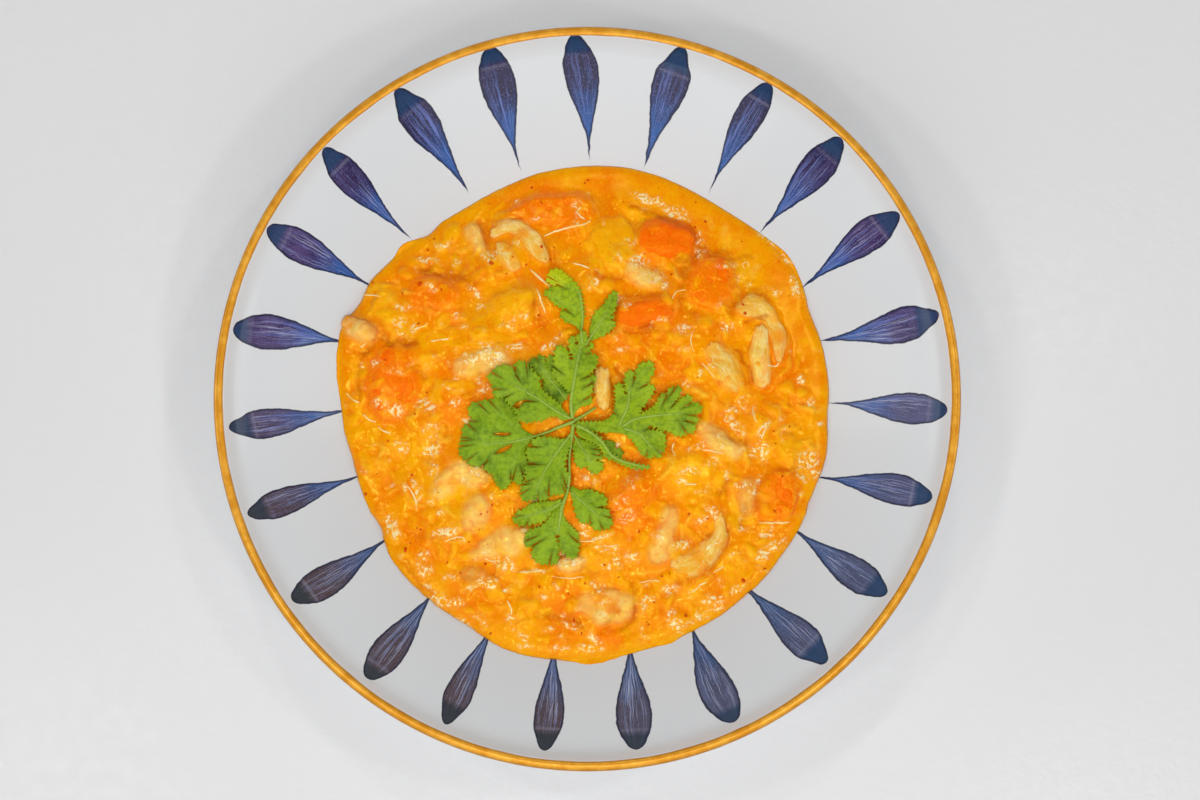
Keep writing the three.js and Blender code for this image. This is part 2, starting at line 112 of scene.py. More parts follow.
class Shader:
    """Builds a material's nodes with short calls."""

    def __init__(self, name):
        self.material = bpy.data.materials.new(name)
        self.material.use_nodes = True
        self.tree = self.material.node_tree
        self.surface = self.tree.nodes["Principled BSDF"]

    def node(self, kind, **settings):
        made = self.tree.nodes.new("ShaderNode" + kind)
        for key, value in settings.items():
            setattr(made, key, value)
        return made

    def put(self, socket, value):
        """Links an output to an input, or sets the input's own value."""
        if isinstance(value, bpy.types.NodeSocket):
            self.tree.links.new(value, socket)
        else:
            socket.default_value = value

    def math(self, operation, a, b=0.0, clamp=False):
        made = self.node("Math", operation=operation, use_clamp=clamp)
        for socket, value in zip(made.inputs, (a, b)):
            self.put(socket, value)
        return made.outputs[0]

    def times(self, a, b):
        return self.math("MULTIPLY", a, b)

    def plus(self, a, b):
        return self.math("ADD", a, b)

    def minus(self, a, b):
        return self.math("SUBTRACT", a, b)

    def absolute(self, value):
        return self.math("ABSOLUTE", value)

    def curve(self, value, points):
        """A curve drawn through points, applied to value."""
        made = self.node("FloatCurve")
        draw_curve(made, points)
        self.put(made.inputs["Value"], value)
        return made.outputs[0]

    def ramp(self, value, low, high, start=0.0, end=1.0):
        """Maps value from low..high to start..end, smoothly and held at both ends."""
        made = self.node("MapRange", interpolation_type="SMOOTHSTEP")
        for socket, number in zip(made.inputs, (value, low, high, start, end)):
            self.put(socket, number)
        return made.outputs[0]

    def mix(self, share, first, second):
        """From the first colour to the second, by share."""
        made = self.node("Mix", data_type="RGBA")
        self.put(made.inputs[0], share)
        self.put(made.inputs[6], first)
        self.put(made.inputs[7], second)
        return made.outputs[2]

    def noise(self, vector, scale, detail=2.0, roughness=0.5, distortion=0.0):
        made = self.node("TexNoise")
        settings = dict(Vector=vector, Scale=scale, Detail=detail, Roughness=roughness, Distortion=distortion)
        for name, value in settings.items():
            self.put(made.inputs[name], value)
        return made.outputs[0]

    def object_place(self):
        return self.node("TexCoord").outputs["Object"]

    def uv(self, layer):
        return self.node("UVMap", uv_map=layer).outputs[0]

    def xyz(self, vector):
        made = self.node("SeparateXYZ")
        self.put(made.inputs[0], vector)
        return made.outputs[0], made.outputs[1], made.outputs[2]

    def vector(self, x, y, z=0.0):
        made = self.node("CombineXYZ")
        for socket, value in zip(made.inputs, (x, y, z)):
            self.put(socket, value)
        return made.outputs[0]

    def attribute(self, name):
        """The mesh's own values of this name: output Fac, Color or Vector."""
        return self.node("Attribute", attribute_name=name, attribute_type="GEOMETRY")

    def bump(self, height, distance, strength):
        made = self.node("Bump")
        for name, value in dict(Height=height, Distance=distance, Strength=strength).items():
            self.put(made.inputs[name], value)
        return made.outputs[0]

    def set(self, **sockets):
        """Sets inputs of the surface, named in words joined by underscores."""
        for key, value in sockets.items():
            self.put(self.surface.inputs[key.replace("_", " ")], value)


def srgb(red, green, blue):
    """A colour given as 0 to 255 on screen, as linear light with alpha."""
    screen = np.array([red, green, blue]) / 255.0
    light = np.where(screen <= 0.04045, screen / 12.92, ((screen + 0.055) / 1.055) ** 2.4)
    return (*light.tolist(), 1.0)


# ------------------------------------------------------------------ plate


def wall_height(radius):
    """Height of the plate's upper surface at a radius, in millimetres."""
    run = radius - BEND_RADIUS
    return FLOOR_HEIGHT + WALL_SLOPE * (run + np.hypot(run, BEND_SOFTNESS)) / 2.0


def arc(centre, radius, start, end, count):
    """Points along an arc in the profile plane, angles in degrees."""
    angles = np.radians(np.linspace(start, end, count))
    return [(centre[0] + radius * math.cos(a), centre[1] + radius * math.sin(a)) for a in angles]


DAB_COUNT = 23
SIDES_PER_DAB = 20
PLATE_SIDES = DAB_COUNT * SIDES_PER_DAB
LIP_CENTRE = (RIM_RADIUS - LIP_RADIUS, RIM_HEIGHT - LIP_RADIUS)


def plate_profile():
    """The plate's section from the middle of its floor over the lip to the middle of its underside."""
    drop = WALL_THICKNESS * math.hypot(1, WALL_SLOPE)
    inner = FOOT_RADIUS - FOOT_WIDTH
    upper_radii = [INNERMOST, *np.linspace(12, 60, 9), *np.linspace(62, WALL_END - 1, 25)]
    upper = [(radius, wall_height(radius)) for radius in upper_radii]
    bend = [(WALL_END + 0.4, wall_height(WALL_END) + 0.5), (WALL_END + 1.4, wall_height(WALL_END) + 1.75)]
    lip = arc(LIP_CENTRE, LIP_RADIUS, 158, -48, 19)
    under = [(radius, wall_height(radius) - drop) for radius in np.linspace(WALL_END - 1.5, 50, 14)]
    foot = [
        (FOOT_RADIUS + 3.4, FOOT_HEIGHT - 0.2),
        (FOOT_RADIUS + 1.2, FOOT_HEIGHT - 1.3),
        (FOOT_RADIUS + 0.4, FOOT_HEIGHT - 2.8),
        *arc((FOOT_RADIUS - FOOT_ROUNDING, FOOT_ROUNDING), FOOT_ROUNDING, 0, -90, 5),
        *arc((inner + FOOT_ROUNDING, FOOT_ROUNDING), FOOT_ROUNDING, -90, -180, 5),
        (inner - 0.4, FOOT_HEIGHT - 2.0),
        (inner - 1.6, FOOT_HEIGHT - 0.7),
        (inner - 4, FOOT_HEIGHT - 0.4),
        (20, FOOT_HEIGHT - 0.3),
        (INNERMOST, FOOT_HEIGHT - 0.3),
    ]
    return np.array(upper + bend + lip + under + foot)


DAB_FIRST_HEADING = 91.0  # degrees from +X, anticlockwise
DAB_STEP = 360.0 / DAB_COUNT
DAB_LENGTH = 31.5
DAB_REACH = 101.4  # mm from the middle of the ring of marks to their heads
DAB_RING_OFFSET = 1.1  # mm from the plate's axis to that middle, away from the diner
# The marks are painted by hand: each is a little off the even spacing, off the radius and off the mean width.
DAB_TURN = 0.7  # degrees, at most, either way
DAB_LEANS = (-6.0, 8.0)  # degrees, least and most
DAB_WIDTHS = (8.0, 10.8)  # mm
DAB_SEED = 7


def dab_frames():
    """Head, stroke vector and width of each dab, seen from above."""
    draw = np.random.default_rng(DAB_SEED)
    ring_middle = np.array([0.0, DAB_RING_OFFSET])
    frames = []
    for k in range(DAB_COUNT):
        turn = draw.uniform(-DAB_TURN, DAB_TURN)
        lean = draw.uniform(*DAB_LEANS)
        width = draw.uniform(*DAB_WIDTHS)
        heading = math.radians(DAB_FIRST_HEADING + k * DAB_STEP + turn)
        outward = np.array([math.cos(heading), math.sin(heading)])
        inward = heading + math.pi + math.radians(lean)
        stroke = DAB_LENGTH * np.array([math.cos(inward), math.sin(inward)])
        middle = ring_middle + outward * (DAB_REACH - DAB_LENGTH / 2)
        frames.append((middle - stroke / 2, stroke, width))
    return frames


def make_plate():
    """The glazed plate, turned around its axis."""
    profile = plate_profile()
    start = math.radians(DAB_FIRST_HEADING - DAB_STEP / 2)
    angles = start + 2 * math.pi * np.arange(PLATE_SIDES) / PLATE_SIDES
    radius, height = profile[:, 0:1], profile[:, 1:2]
    places = [radius * np.cos(angles), radius * np.sin(angles), height + 0 * angles]
    points = np.stack(places, axis=-1).reshape(-1, 3)
    middles = [(0.0, 0.0, profile[0, 1]), (0.0, 0.0, profile[-1, 1])]
    faces = closed_rings(len(profile), PLATE_SIDES)
    plate = mesh_object("plate_glazed", np.vstack([points, middles]), faces)
    paint_dabs(plate.data)
    plate.data.materials.append(glaze_material())
    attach(plate, "root")
    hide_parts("plate")


OFF_THE_MARKS = 9.0  # a place across and along the stroke that is outside every mark
# Steps from mark to mark of two numbers between 0 and 1 that vary its bend, width and tone.
FIRST_STEP = 0.618034
SECOND_STEP = 0.754878


def paint_dabs(mesh):
    """UVs across and along each brush mark, and the mark's own two numbers, constant over its sector.

    The marks are on the inside only: faces that look down lie off every mark.
    """
    loops = len(mesh.loops)
    corner = np.zeros(loops, np.int32)
    mesh.loops.foreach_get("vertex_index", corner)
    owner = np.full(loops, -1, np.int32)
    for polygon in mesh.polygons:
        if polygon.normal.z < 0:
            continue
        x, y, _ = polygon.center
        turn = (math.degrees(math.atan2(y, x)) - DAB_FIRST_HEADING + DAB_STEP / 2) % 360.0
        owner[polygon.loop_start : polygon.loop_start + polygon.loop_total] = int(turn // DAB_STEP)
    where = places_of(mesh)[corner, :2]
    stroke_uv = np.full((loops, 2), OFF_THE_MARKS)
    kind_uv = np.zeros((loops, 2))
    for k, (head, stroke, width) in enumerate(dab_frames()):
        mine = owner == k
        length = np.linalg.norm(stroke)
        along = stroke / length
        across = np.array([-along[1], along[0]])
        offset = where[mine] - head
        stroke_uv[mine, 0] = offset @ across / (width / 2)
        stroke_uv[mine, 1] = offset @ along / length
        kind_uv[mine, 0] = k * FIRST_STEP % 1.0
        kind_uv[mine, 1] = (k * SECOND_STEP + 0.3) % 1.0
    for layer, values in (("stroke", stroke_uv), ("kind", kind_uv)):
        mesh.uv_layers.new(name=layer).data.foreach_set("uv", values.ravel())


DAB_WIDEST = 0.27  # share of the stroke's length
DAB_TAPER = 1.25  # how fast the mark narrows towards its tip
DAB_TAIL = 0.045  # half width of the thin tail, as a share of the greatest
DAB_OUTLINE_POINTS = 17


def dab_outline():
    """Half width along the stroke, as a share of the greatest: a round head and a taper to a thin tail."""
    points = [(0.0, 0.0)]
    for share in np.linspace(0, 1, DAB_OUTLINE_POINTS)[1:-1] ** 1.5:
        if share < DAB_WIDEST:
            half = math.sqrt(1 - (1 - share / DAB_WIDEST) ** 2)
        else:
            towards_tip = (share - DAB_WIDEST) / (1 - DAB_WIDEST)
            half = max((0.5 + 0.5 * math.cos(math.pi * towards_tip)) ** DAB_TAPER, DAB_TAIL)
        points.append((share, half))
    return [*points, (1.0, 0.0)]


class BrushMarks:
    """The marks under the glaze: where they are, and the tones of their pigment."""

    def __init__(self, s, place):
        self.s, self.place = s, place
        self.across, self.along, _ = s.xyz(s.uv("stroke"))
        self.first, self.second, _ = s.xyz(s.uv("kind"))
        # The stroke bends a little to one side, and its outline trembles.
        middle = s.times(self.along, s.minus(1.0, self.along))
        bend = s.times(middle, s.times(s.minus(self.first, 0.5), 1.6))
        tremble = s.times(s.minus(s.noise(place, 330.0, 2.0), 0.5), 0.16)
        self.offset = s.plus(s.plus(self.across, bend), tremble)
        half = s.curve(self.along, dab_outline())
        fullness = s.times(s.times(self.second, 0.08), s.ramp(self.along, 0.5, 0.8))
        half = s.plus(half, s.times(fullness, s.ramp(self.along, 1.0, 0.86)))
        nub = s.times(s.times(self.second, 0.24), s.ramp(self.along, 0.2, 0.07))
        self.half = s.times(half, s.minus(1.0, nub))
        self.inwards = s.minus(self.half, s.absolute(self.offset))

    def share(self, radius, z):
        """1 inside a mark, on the upper side within the lip."""
        s = self.s
        upper_side = s.ramp(z, 0.0185, 0.0195)
        inner_side = s.ramp(radius, 0.1032, 0.1030)
        return s.times(s.ramp(self.inwards, -0.02, 0.035), s.times(upper_side, inner_side))

    def pigment(self, x, y):
        """A dark cap, a purple-grey body, streaks that run together towards a bluer tail."""
        s, along = self.s, self.along
        lower = s.ramp(y, 0.02, -0.06)
        upper = s.ramp(y, 0.045, 0.08)
        browner = s.ramp(s.plus(s.times(x, 0.6), y), -0.04, -0.1)
        bluer = s.ramp(s.minus(x, s.times(y, 0.8)), 0.06, 0.11)
        cloud = s.noise(s.vector(self.across, s.times(along, 5.0), s.times(self.second, 23.0)), 1.6, 3.0)
        clouded = s.ramp(cloud, 0.3, 0.7)
        purple = s.mix(clouded, srgb(54, 36, 84), srgb(80, 62, 108))
        slate = s.mix(clouded, srgb(46, 38, 62), srgb(58, 62, 92))
        body = s.mix(lower, purple, slate)
        body = s.mix(s.times(upper, 0.75), body, srgb(18, 18, 52))
        body = s.mix(s.times(browner, 0.85), body, srgb(80, 62, 60))
        body = s.mix(s.times(bluer, 0.5), body, srgb(84, 96, 128))
        towards_tail = s.ramp(s.plus(along, s.times(s.minus(cloud, 0.5), 0.3)), 0.3, 0.8)
        body = s.mix(towards_tail, body, s.mix(lower, srgb(28, 88, 160), srgb(44, 80, 128)))
        body = self.streaked(body, lower, upper)
        grains = s.ramp(s.noise(self.place, 1900.0, 1.0), 0.56, 0.66, 0.0, 0.3)
        body = s.mix(grains, body, srgb(120, 118, 170))
        return self.capped_and_edged(body, browner)

    def streaked(self, body, lower, upper):
        """Streaks and finer hairs along the stroke."""
        s, along = self.s, self.along
        spread = s.math("DIVIDE", self.offset, s.plus(self.half, 0.08))
        number = s.times(self.first, 37.0)
        inner = s.ramp(s.absolute(spread), 0.95, 0.35)
        along_share = s.ramp(along, 0.06, 0.45, 0.25, 0.8)
        streak_place = s.vector(s.times(spread, 6.5), s.times(along, 1.6), number)
        streaks = s.times(s.ramp(s.noise(streak_place, 1.0, 3.0, 0.7), 0.5, 0.68), inner)
        streak_tone = s.mix(lower, srgb(110, 126, 200), srgb(118, 136, 182))
        body = s.mix(s.times(streaks, along_share), body, streak_tone)
        hair_place = s.vector(s.times(spread, 15.0), s.times(along, 2.6), number)
        hairs = s.times(s.ramp(s.noise(hair_place, 1.0, 3.0, 0.7), 0.53, 0.63), inner)
        hair_share = s.times(hairs, s.times(along_share, 0.85))
        return s.mix(hair_share, body, s.mix(upper, srgb(184, 190, 222), srgb(92, 130, 200)))

    def capped_and_edged(self, body, browner):
        """The dark cap at the head with a pale band behind it, and a dark edge all round."""
        s = self.s
        cap_end = s.plus(0.1, s.times(self.second, 0.08))
        cap = s.ramp(s.minus(self.along, cap_end), 0.03, -0.03)
        body = s.mix(s.times(cap, 0.8), body, s.mix(browner, srgb(8, 56, 96), srgb(30, 46, 52)))
        band = s.ramp(s.absolute(s.minus(self.along, s.plus(cap_end, 0.03))), 0.02, 0.004)
        body = s.mix(s.times(band, s.times(self.first, 0.28)), body, srgb(150, 150, 172))
        edge = s.ramp(self.inwards, 0.2, 0.04)
        return s.mix(s.times(edge, 0.9), body, srgb(20, 20, 52))


def gold_tone(s, place, radius):
    """Worn gold, with painted shade along both edges of the line where the rounded lip turns away."""
    gold = s.mix(s.ramp(s.noise(place, 260.0, 3.0, 0.6), 0.35, 0.7), srgb(214, 142, 18), srgb(236, 170, 52))
    # Painted shade along both edges of the rounded lip.
    edge = s.plus(s.ramp(radius, 0.1029, 0.1022), s.ramp(radius, 0.1042, 0.1048))
    return s.mix(s.times(edge, 0.55), gold, srgb(158, 98, 14))


def glaze_material():
    """White glaze with brush marks under it, a gold line round the lip and a bare foot."""
    s = Shader("white_glaze")
    place = s.object_place()
    x, y, z = s.xyz(place)
    radius = s.math("SQRT", s.plus(s.times(x, x), s.times(y, y)))
    marks = BrushMarks(s, place)
    glaze_tone = s.mix(s.noise(place, 40.0, 2.0), srgb(212, 216, 219), srgb(217, 220, 222))
    colour = s.mix(marks.share(radius, z), glaze_tone, marks.pigment(x, y))
    # The edges of the gold are slightly uneven.
    wander = s.times(s.minus(s.noise(place, 90.0, 2.0), 0.5), 0.0004)
    gold_in = s.ramp(s.plus(radius, wander), 0.10205, 0.10225)
    gold = s.times(gold_in, s.ramp(s.plus(z, wander), 0.0455, 0.0457))
    colour = s.mix(gold, colour, gold_tone(s, place, radius))
    bare = s.ramp(z, 0.0007, 0.0004)
    colour = s.mix(bare, colour, srgb(224, 218, 206))
    s.set(
        Base_Color=colour,
        Metallic=s.times(gold, 0.4),
        Roughness=s.plus(s.plus(0.13, s.times(gold, 0.2)), s.times(bare, 0.5)),
        Normal=s.bump(s.noise(place, 55.0, 2.0), 0.0002, 0.25),
        Specular_IOR_Level=0.35,
    )
    return s.material


# ------------------------------------------------------------------ noise


class Noise:
    """Smooth gradient noise over points in millimetres, about -1 to 1, with its own seed."""

    def __init__(self, seed):
        draw = np.random.default_rng(seed)
        self.order = draw.permutation(256)
        directions = draw.normal(size=(256, 3))
        self.directions = directions / np.linalg.norm(directions, axis=1, keepdims=True)

    def corner(self, cell, offset, ease, corner):
        """What one corner of each cell adds to the noise."""
        key = np.zeros(len(cell), int)
        for axis in range(cell.shape[1]):
            key = self.order[(key + cell[:, axis] + corner[axis]) % 256]
        direction = self.directions[key, : cell.shape[1]]
        weight = np.prod(np.where(corner, ease, 1.0 - ease), axis=1)
        return weight * np.sum(direction * (offset - corner), axis=1)

    def __call__(self, points, size):
        """Values of the noise, whose waves are about size long."""
        scaled = np.asarray(points, float) / size
        cell = np.floor(scaled).astype(int)
        offset = scaled - cell
        ease = offset**3 * (offset * (offset * 6.0 - 15.0) + 10.0)
        corners = np.array(list(itertools.product((0, 1), repeat=scaled.shape[1])))
        return 1.7 * sum(self.corner(cell, offset, ease, corner) for corner in corners)

    def layers(self, points, size, count, fall=0.5):
        """Several octaves of the noise, each half the size and weaker than the one before."""
        total = 0.0
        for k in range(count):
            total = total + fall**k * self(np.asarray(points) + 31.7 * k, size / 2**k)
        return total / sum(fall**k for k in range(count))


# ------------------------------------------------------------------ lie of the sauce


SAUCE_RADIUS = 71.6
SAUCE_OFFSET = 2.9
SAUCE_LEVEL = 25.6
SETTLING = 36.0
SERVING_OFFSET = 1.9  # the middle of the serving lies this far towards the diner
LIP_RISE = 1.3
LIP_REACH = 1.8
MOUND_HEIGHT = 4.6
MOUND_SINK = 1.4
SWELLS = ((35, 14, 2.1), (82, 20, 1.6), (161, 16, 4.6), (226, 10, 0.9), (256, 20, 2.4))
DENTS = ((123, 14, 1.0), (206, 10, 1.2), (332, 16, 0.5))


def served(places):
    """Places given from the middle of the serving, in the plate's own coordinates."""
    return [(x, y - SERVING_OFFSET, *rest) for x, y, *rest in places]


def swell(angle, at, width, size):
    """A bulge of the sauce's edge around a heading, both in degrees."""
    off = (np.degrees(angle) - at + 180.0) % 360.0 - 180.0
    return size * np.exp(-((off / width) ** 2))


def sauce_edge(angle):
    """How far out the sauce reaches, as in the CAD part."""
    edge = SAUCE_RADIUS - SAUCE_OFFSET * np.sin(angle)
    edge = edge + sum(swell(angle, *form) for form in SWELLS)
    return edge - sum(swell(angle, *form) for form in DENTS)


def lumps(x, y):
    """Gentle lumps of the thick sauce between the pieces, as in the CAD part."""
    return (
        0.55 * np.sin(0.31 * x + 1.3) * np.sin(0.27 * y + 0.4)
        + 0.4 * np.sin(0.19 * x - 0.36 * y + 2)
        + 0.3 * np.sin(0.47 * x + 0.2 * y) * np.sin(0.41 * y - 0.9)
    )


def inward_of(x, y):
    """Distance from the sauce's edge towards its middle."""
    return sauce_edge(np.arctan2(y, x)) - np.hypot(x, y)


def sauce_height(x, y):
    """Height of the sauce's even surface, as in the CAD part."""
    inward = np.maximum(0.0, inward_of(x, y))
    rounded = LIP_RISE * (1 - np.exp(-inward / LIP_REACH)) - MOUND_SINK * smoothstep(0, 30, inward)
    mound = MOUND_HEIGHT * smoothstep(4, 44, inward) + lumps(x, y) * smoothstep(3, 16, inward)
    at_edge = wall_height(sauce_edge(np.arctan2(y, x)))
    level = at_edge + smoothstep(0, SETTLING, inward) * (SAUCE_LEVEL - at_edge)
    return level + rounded + mound


CALM_NOISE = Noise(5)


def calm_share(x, y):
    """1 where the sauce has settled smooth: along its upper right edge, and at its very rim."""
    angle = np.arctan2(y, x)
    width = 1.6 + swell(angle, 48, 52, 9.5) + swell(angle, 95, 22, 3.0)
    inward = inward_of(x, y)
    ragged = 1.6 * CALM_NOISE(flat_places(x, y), 7.0).reshape(x.shape)
    return 1.0 - smoothstep(0.75 * width, 1.25 * width, inward + ragged)


# ------------------------------------------------------------------ colours of food

def tone(red, green, blue):
    """A colour given as 0 to 255 on screen, as linear light without alpha."""
    return np.array(srgb(red, green, blue)[:3])


SAUCE_DEEP = tone(246, 110, 0)
SAUCE_MID = tone(252, 142, 0)
SAUCE_BRIGHT = tone(255, 169, 0)
SAUCE_YELLOW = tone(254, 187, 6)
SAUCE_CREAM = tone(252, 208, 104)
SAUCE_RIM = tone(236, 172, 0)
# Painted shade in the creases.
CREASE_SHADE = tone(190, 78, 0)
# The near white of painted glints.
GLINT_CREAM = tone(255, 240, 186)
CARROT_DEEP = tone(252, 86, 0)
CARROT_MID = tone(255, 110, 0)
CARROT_LIGHT = tone(255, 142, 8)
CHICKEN_DEEP = tone(240, 166, 36)
CHICKEN_MID = tone(248, 202, 88)
CHICKEN_PALE = tone(255, 230, 160)
CHICKEN_WHITE = tone(252, 220, 158)
CHICKEN_BROWN = tone(206, 128, 30)
POTATO_DEEP = tone(248, 150, 0)
POTATO_MID = tone(255, 171, 2)
POTATO_PALE = tone(255, 190, 28)
ONION_DEEP = tone(224, 140, 30)
ONION_MID = tone(236, 172, 74)
ONION_PALE = tone(248, 206, 128)


def blend(share, first, second):
    """Mixes two colours, or two arrays of them, by an array of shares."""
    return first + np.clip(share, 0, 1)[..., None] * (second - first)


# Places where pieces under the surface tint the sauce, from the middle of the serving: x, y, reach in
# mm, and how strongly.
ORANGE_PATCHES = served((
    (-12, 60, 9, 0.9), (-7, 55, 8, 0.8), (22, 47, 9, 0.9), (27, 50, 7, 0.7), (33, 38, 9, 0.85),
    (38, 35, 8, 0.7), (29, 33, 6, 0.7), (18, 26, 9, 0.85), (10, 27, 6, 0.7), (-58, 12, 9, 0.85),
    (-60, 3, 9, 0.7), (-52, 5, 7, 0.7), (-46, 31, 8, 0.95), (-42, 27, 6, 0.7), (-36, 34, 7, 0.5),
    (-42, 12, 6, 0.5), (-48, 41, 6, 0.5), (10, 18, 9, 0.6), (22, 12, 9, 0.55), (11, 13, 6, 0.55),
    (12, -29, 9, 0.8), (19, -33, 8, 0.7), (9, -36, 7, 0.6), (36, -9, 7, 0.5), (14, -17, 7, 0.6),
    (57, -26, 9, 0.85), (52, -30, 6, 0.8), (56, 0, 8, 0.35), (50, -2, 6, 0.35), (27, -12, 7, 0.45),
    (30, -37, 5, 0.5), (6.5, -67, 5, 0.95), (-7, -61, 6, 0.5), (-8, -67, 7, 0.5), (20, -65, 6, 0.4),
    (-39, -38, 5, 0.5), (-49, -37, 7, 0.35), (-40, -2, 7, 0.5), (-4, -20, 5, 0.7), (-6, -34, 5, 0.6),
    (-12, 38, 4, 0.6), (-14, 25, 4, 0.8), (-31, 2, 4, 0.5),
))
YELLOW_PATCHES = served((
    (6, 46, 8, 0.95), (13, 53, 6, 0.9), (0, 60, 6, 0.4), (18, 37, 5, 0.6), (-20, 30, 7, 0.95),
    (-28, 24, 9, 0.6), (-59, 29, 6, 0.9), (-55, 24, 4, 0.9), (-39, 50, 6, 0.7), (-27, 46, 7, 0.5),
    (-43, 18, 6, 0.6), (-47, 12, 4, 0.6), (-60, -14, 9, 0.5), (-66, -6, 8, 0.5), (-46, -10, 6, 0.7),
    (-40, -26, 9, 0.9), (-36, -33, 7, 0.7), (-34, -16, 5, 0.7), (-47, 5, 4, 0.7), (29, -20, 8, 0.6),
    (33, -7, 4, 0.9), (40, -13, 5, 0.9), (43, -31, 4, 0.9), (42, -21, 3, 0.8), (46, -14, 4, 0.5),
    (62, -12, 5, 0.9), (63, -18, 5, 0.7), (56, -43, 4, 0.6), (27, 42, 4, 0.8), (46, 38, 6, 0.7),
    (36, 28, 5, 0.5), (52, 33, 6, 0.4), (39, 6, 8, 0.4), (5, 8, 4, 0.9), (-45, -55, 6, 0.4),
    (27, -45, 6, 0.5), (-17, -57, 7, 0.4), (21, -68, 5, 0.6), (-1, -49, 5, 0.3),
))
# Creases between the pieces, sunk into the sauce and darkened with painted shade: width in mm, strength, and
# the points they run through.
CREASES = (
    (1.5, 0.6, ((-49, 40), (-43, 38.2), (-38, 38), (-34, 35.5))),
    (1.6, 0.55, ((-31.5, 54.5), (-30, 51), (-30, 48))), (1.5, 0.5, ((-30, 55.2), (-25, 54.6), (-21, 55.5))),
    (2.0, 0.55, ((-71, 27), (-66, 25), (-61, 21))),
    (1.2, 0.85, ((-66, 14.5), (-62, 18.5), (-60, 20), (-57.5, 17.8), (-55, 19), (-52.5, 17.8), (-50.5, 18))),
    (0.9, 0.8, ((12.5, 59.6), (16, 58.3), (20, 57), (22.5, 55), (25.5, 54), (30, 52))),
    (1.8, 0.45, ((-12.5, 47), (-11, 43), (-10, 40.5))), (1.0, 0.65, ((2.5, 38.4), (5, 37.4), (9.5, 37))),
    (1.2, 0.55, ((10, 31.2), (15, 32.3), (22, 32))), (0.9, 0.95, ((15.6, 22.2), (18, 23), (20, 22.6))),
    (1.2, 0.55, ((4, 21.6), (12, 21.2), (22, 21.8))), (1.7, 0.7, ((-15.8, 29), (-15.2, 26), (-13, 23.6))),
    (1.3, 0.6, ((30, 52.5), (32, 50), (33, 47), (36, 45.4), (40, 46), (43, 43.8), (48, 44.2))),
    (1.3, 0.8, ((26.5, 42.8), (30, 42.4), (33, 45.4))),
    (1.6, 0.5, ((28.5, 41), (28, 34), (27, 28), (30, 27))),
    (1.6, 0.4, ((42, 27), (44, 32), (48, 34), (53, 32))), (1.0, 0.6, ((-51, 10.5), (-49, 9), (-47.5, 7.8))),
    (0.8, 0.45, ((-66, 14), (-67.6, 8), (-66.8, 1.5))), (1.4, 0.55, ((-36, 3), (-32, 2), (-30, 3.5))),
    (1.2, 0.6, ((-3, -5.4), (4, -4.6), (7, -2.6), (8, 1), (6.4, 7))),
    (1.0, 0.7, ((8, 10.5), (10, 8), (11, 3.5))), (1.2, 0.85, ((15, -2.2), (18, 0.4), (20, 3), (22.5, 3.6))),
    (0.9, 0.6, ((0.5, -7.8), (4, -9.2), (8, -12.5))), (1.2, 0.55, ((-15, -8.4), (-9, -8.9), (-6, -8.6))),
    (1.4, 0.5, ((-5, -12), (-6, -19), (-4.6, -22), (-1, -20.6))),
    (1.2, 0.5, ((8, -16.8), (12, -17), (17, -16.2))),
    (0.8, 0.95, ((44, 16), (45.5, 13), (47, 10.5), (48, 7))),
    (1.0, 0.6, ((35, -8.6), (40, -10), (46.5, -11.2))), (1.2, 0.4, ((24.5, -13), (22, -11.5), (22.4, -8))),
    (1.2, 0.55, ((46, -29.5), (45, -33), (44.4, -36))), (1.0, 0.5, ((41, -22), (39.6, -24), (38.6, -26))),
    (1.1, 0.45, ((49.4, -30), (49, -26), (50.6, -22), (54, -19.6), (60, -19))),
    (0.8, 0.65, ((12.8, -52), (13.8, -57), (13.2, -62), (10, -65))),
    (0.9, 0.55, ((5.6, -63.6), (8, -61), (10, -59.6))),
    (1.0, 0.65, ((-14, -61.2), (-8, -61.8), (-4, -62.6), (-1.6, -64.6))),
    (1.2, 0.5, ((40.4, -33), (40.6, -40), (38, -44.6), (33, -50), (26, -52))),
    (1.3, 0.4, ((27, -39), (31, -39.4), (36, -38.4))), (1.2, 0.4, ((-50, -38), (-46, -39), (-42, -38.6))),
    (1.3, 0.4, ((-36, -50), (-32, -50.6), (-27, -50))), (1.0, 0.45, ((-2, -49), (-1, -47.6), (2.6, -49.4))),
    (1.2, 0.5, ((-46, -55), (-50, -51), (-53, -46))), (0.7, 0.95, ((46.5, 24), (49, 25), (52.4, 26.2))),
)
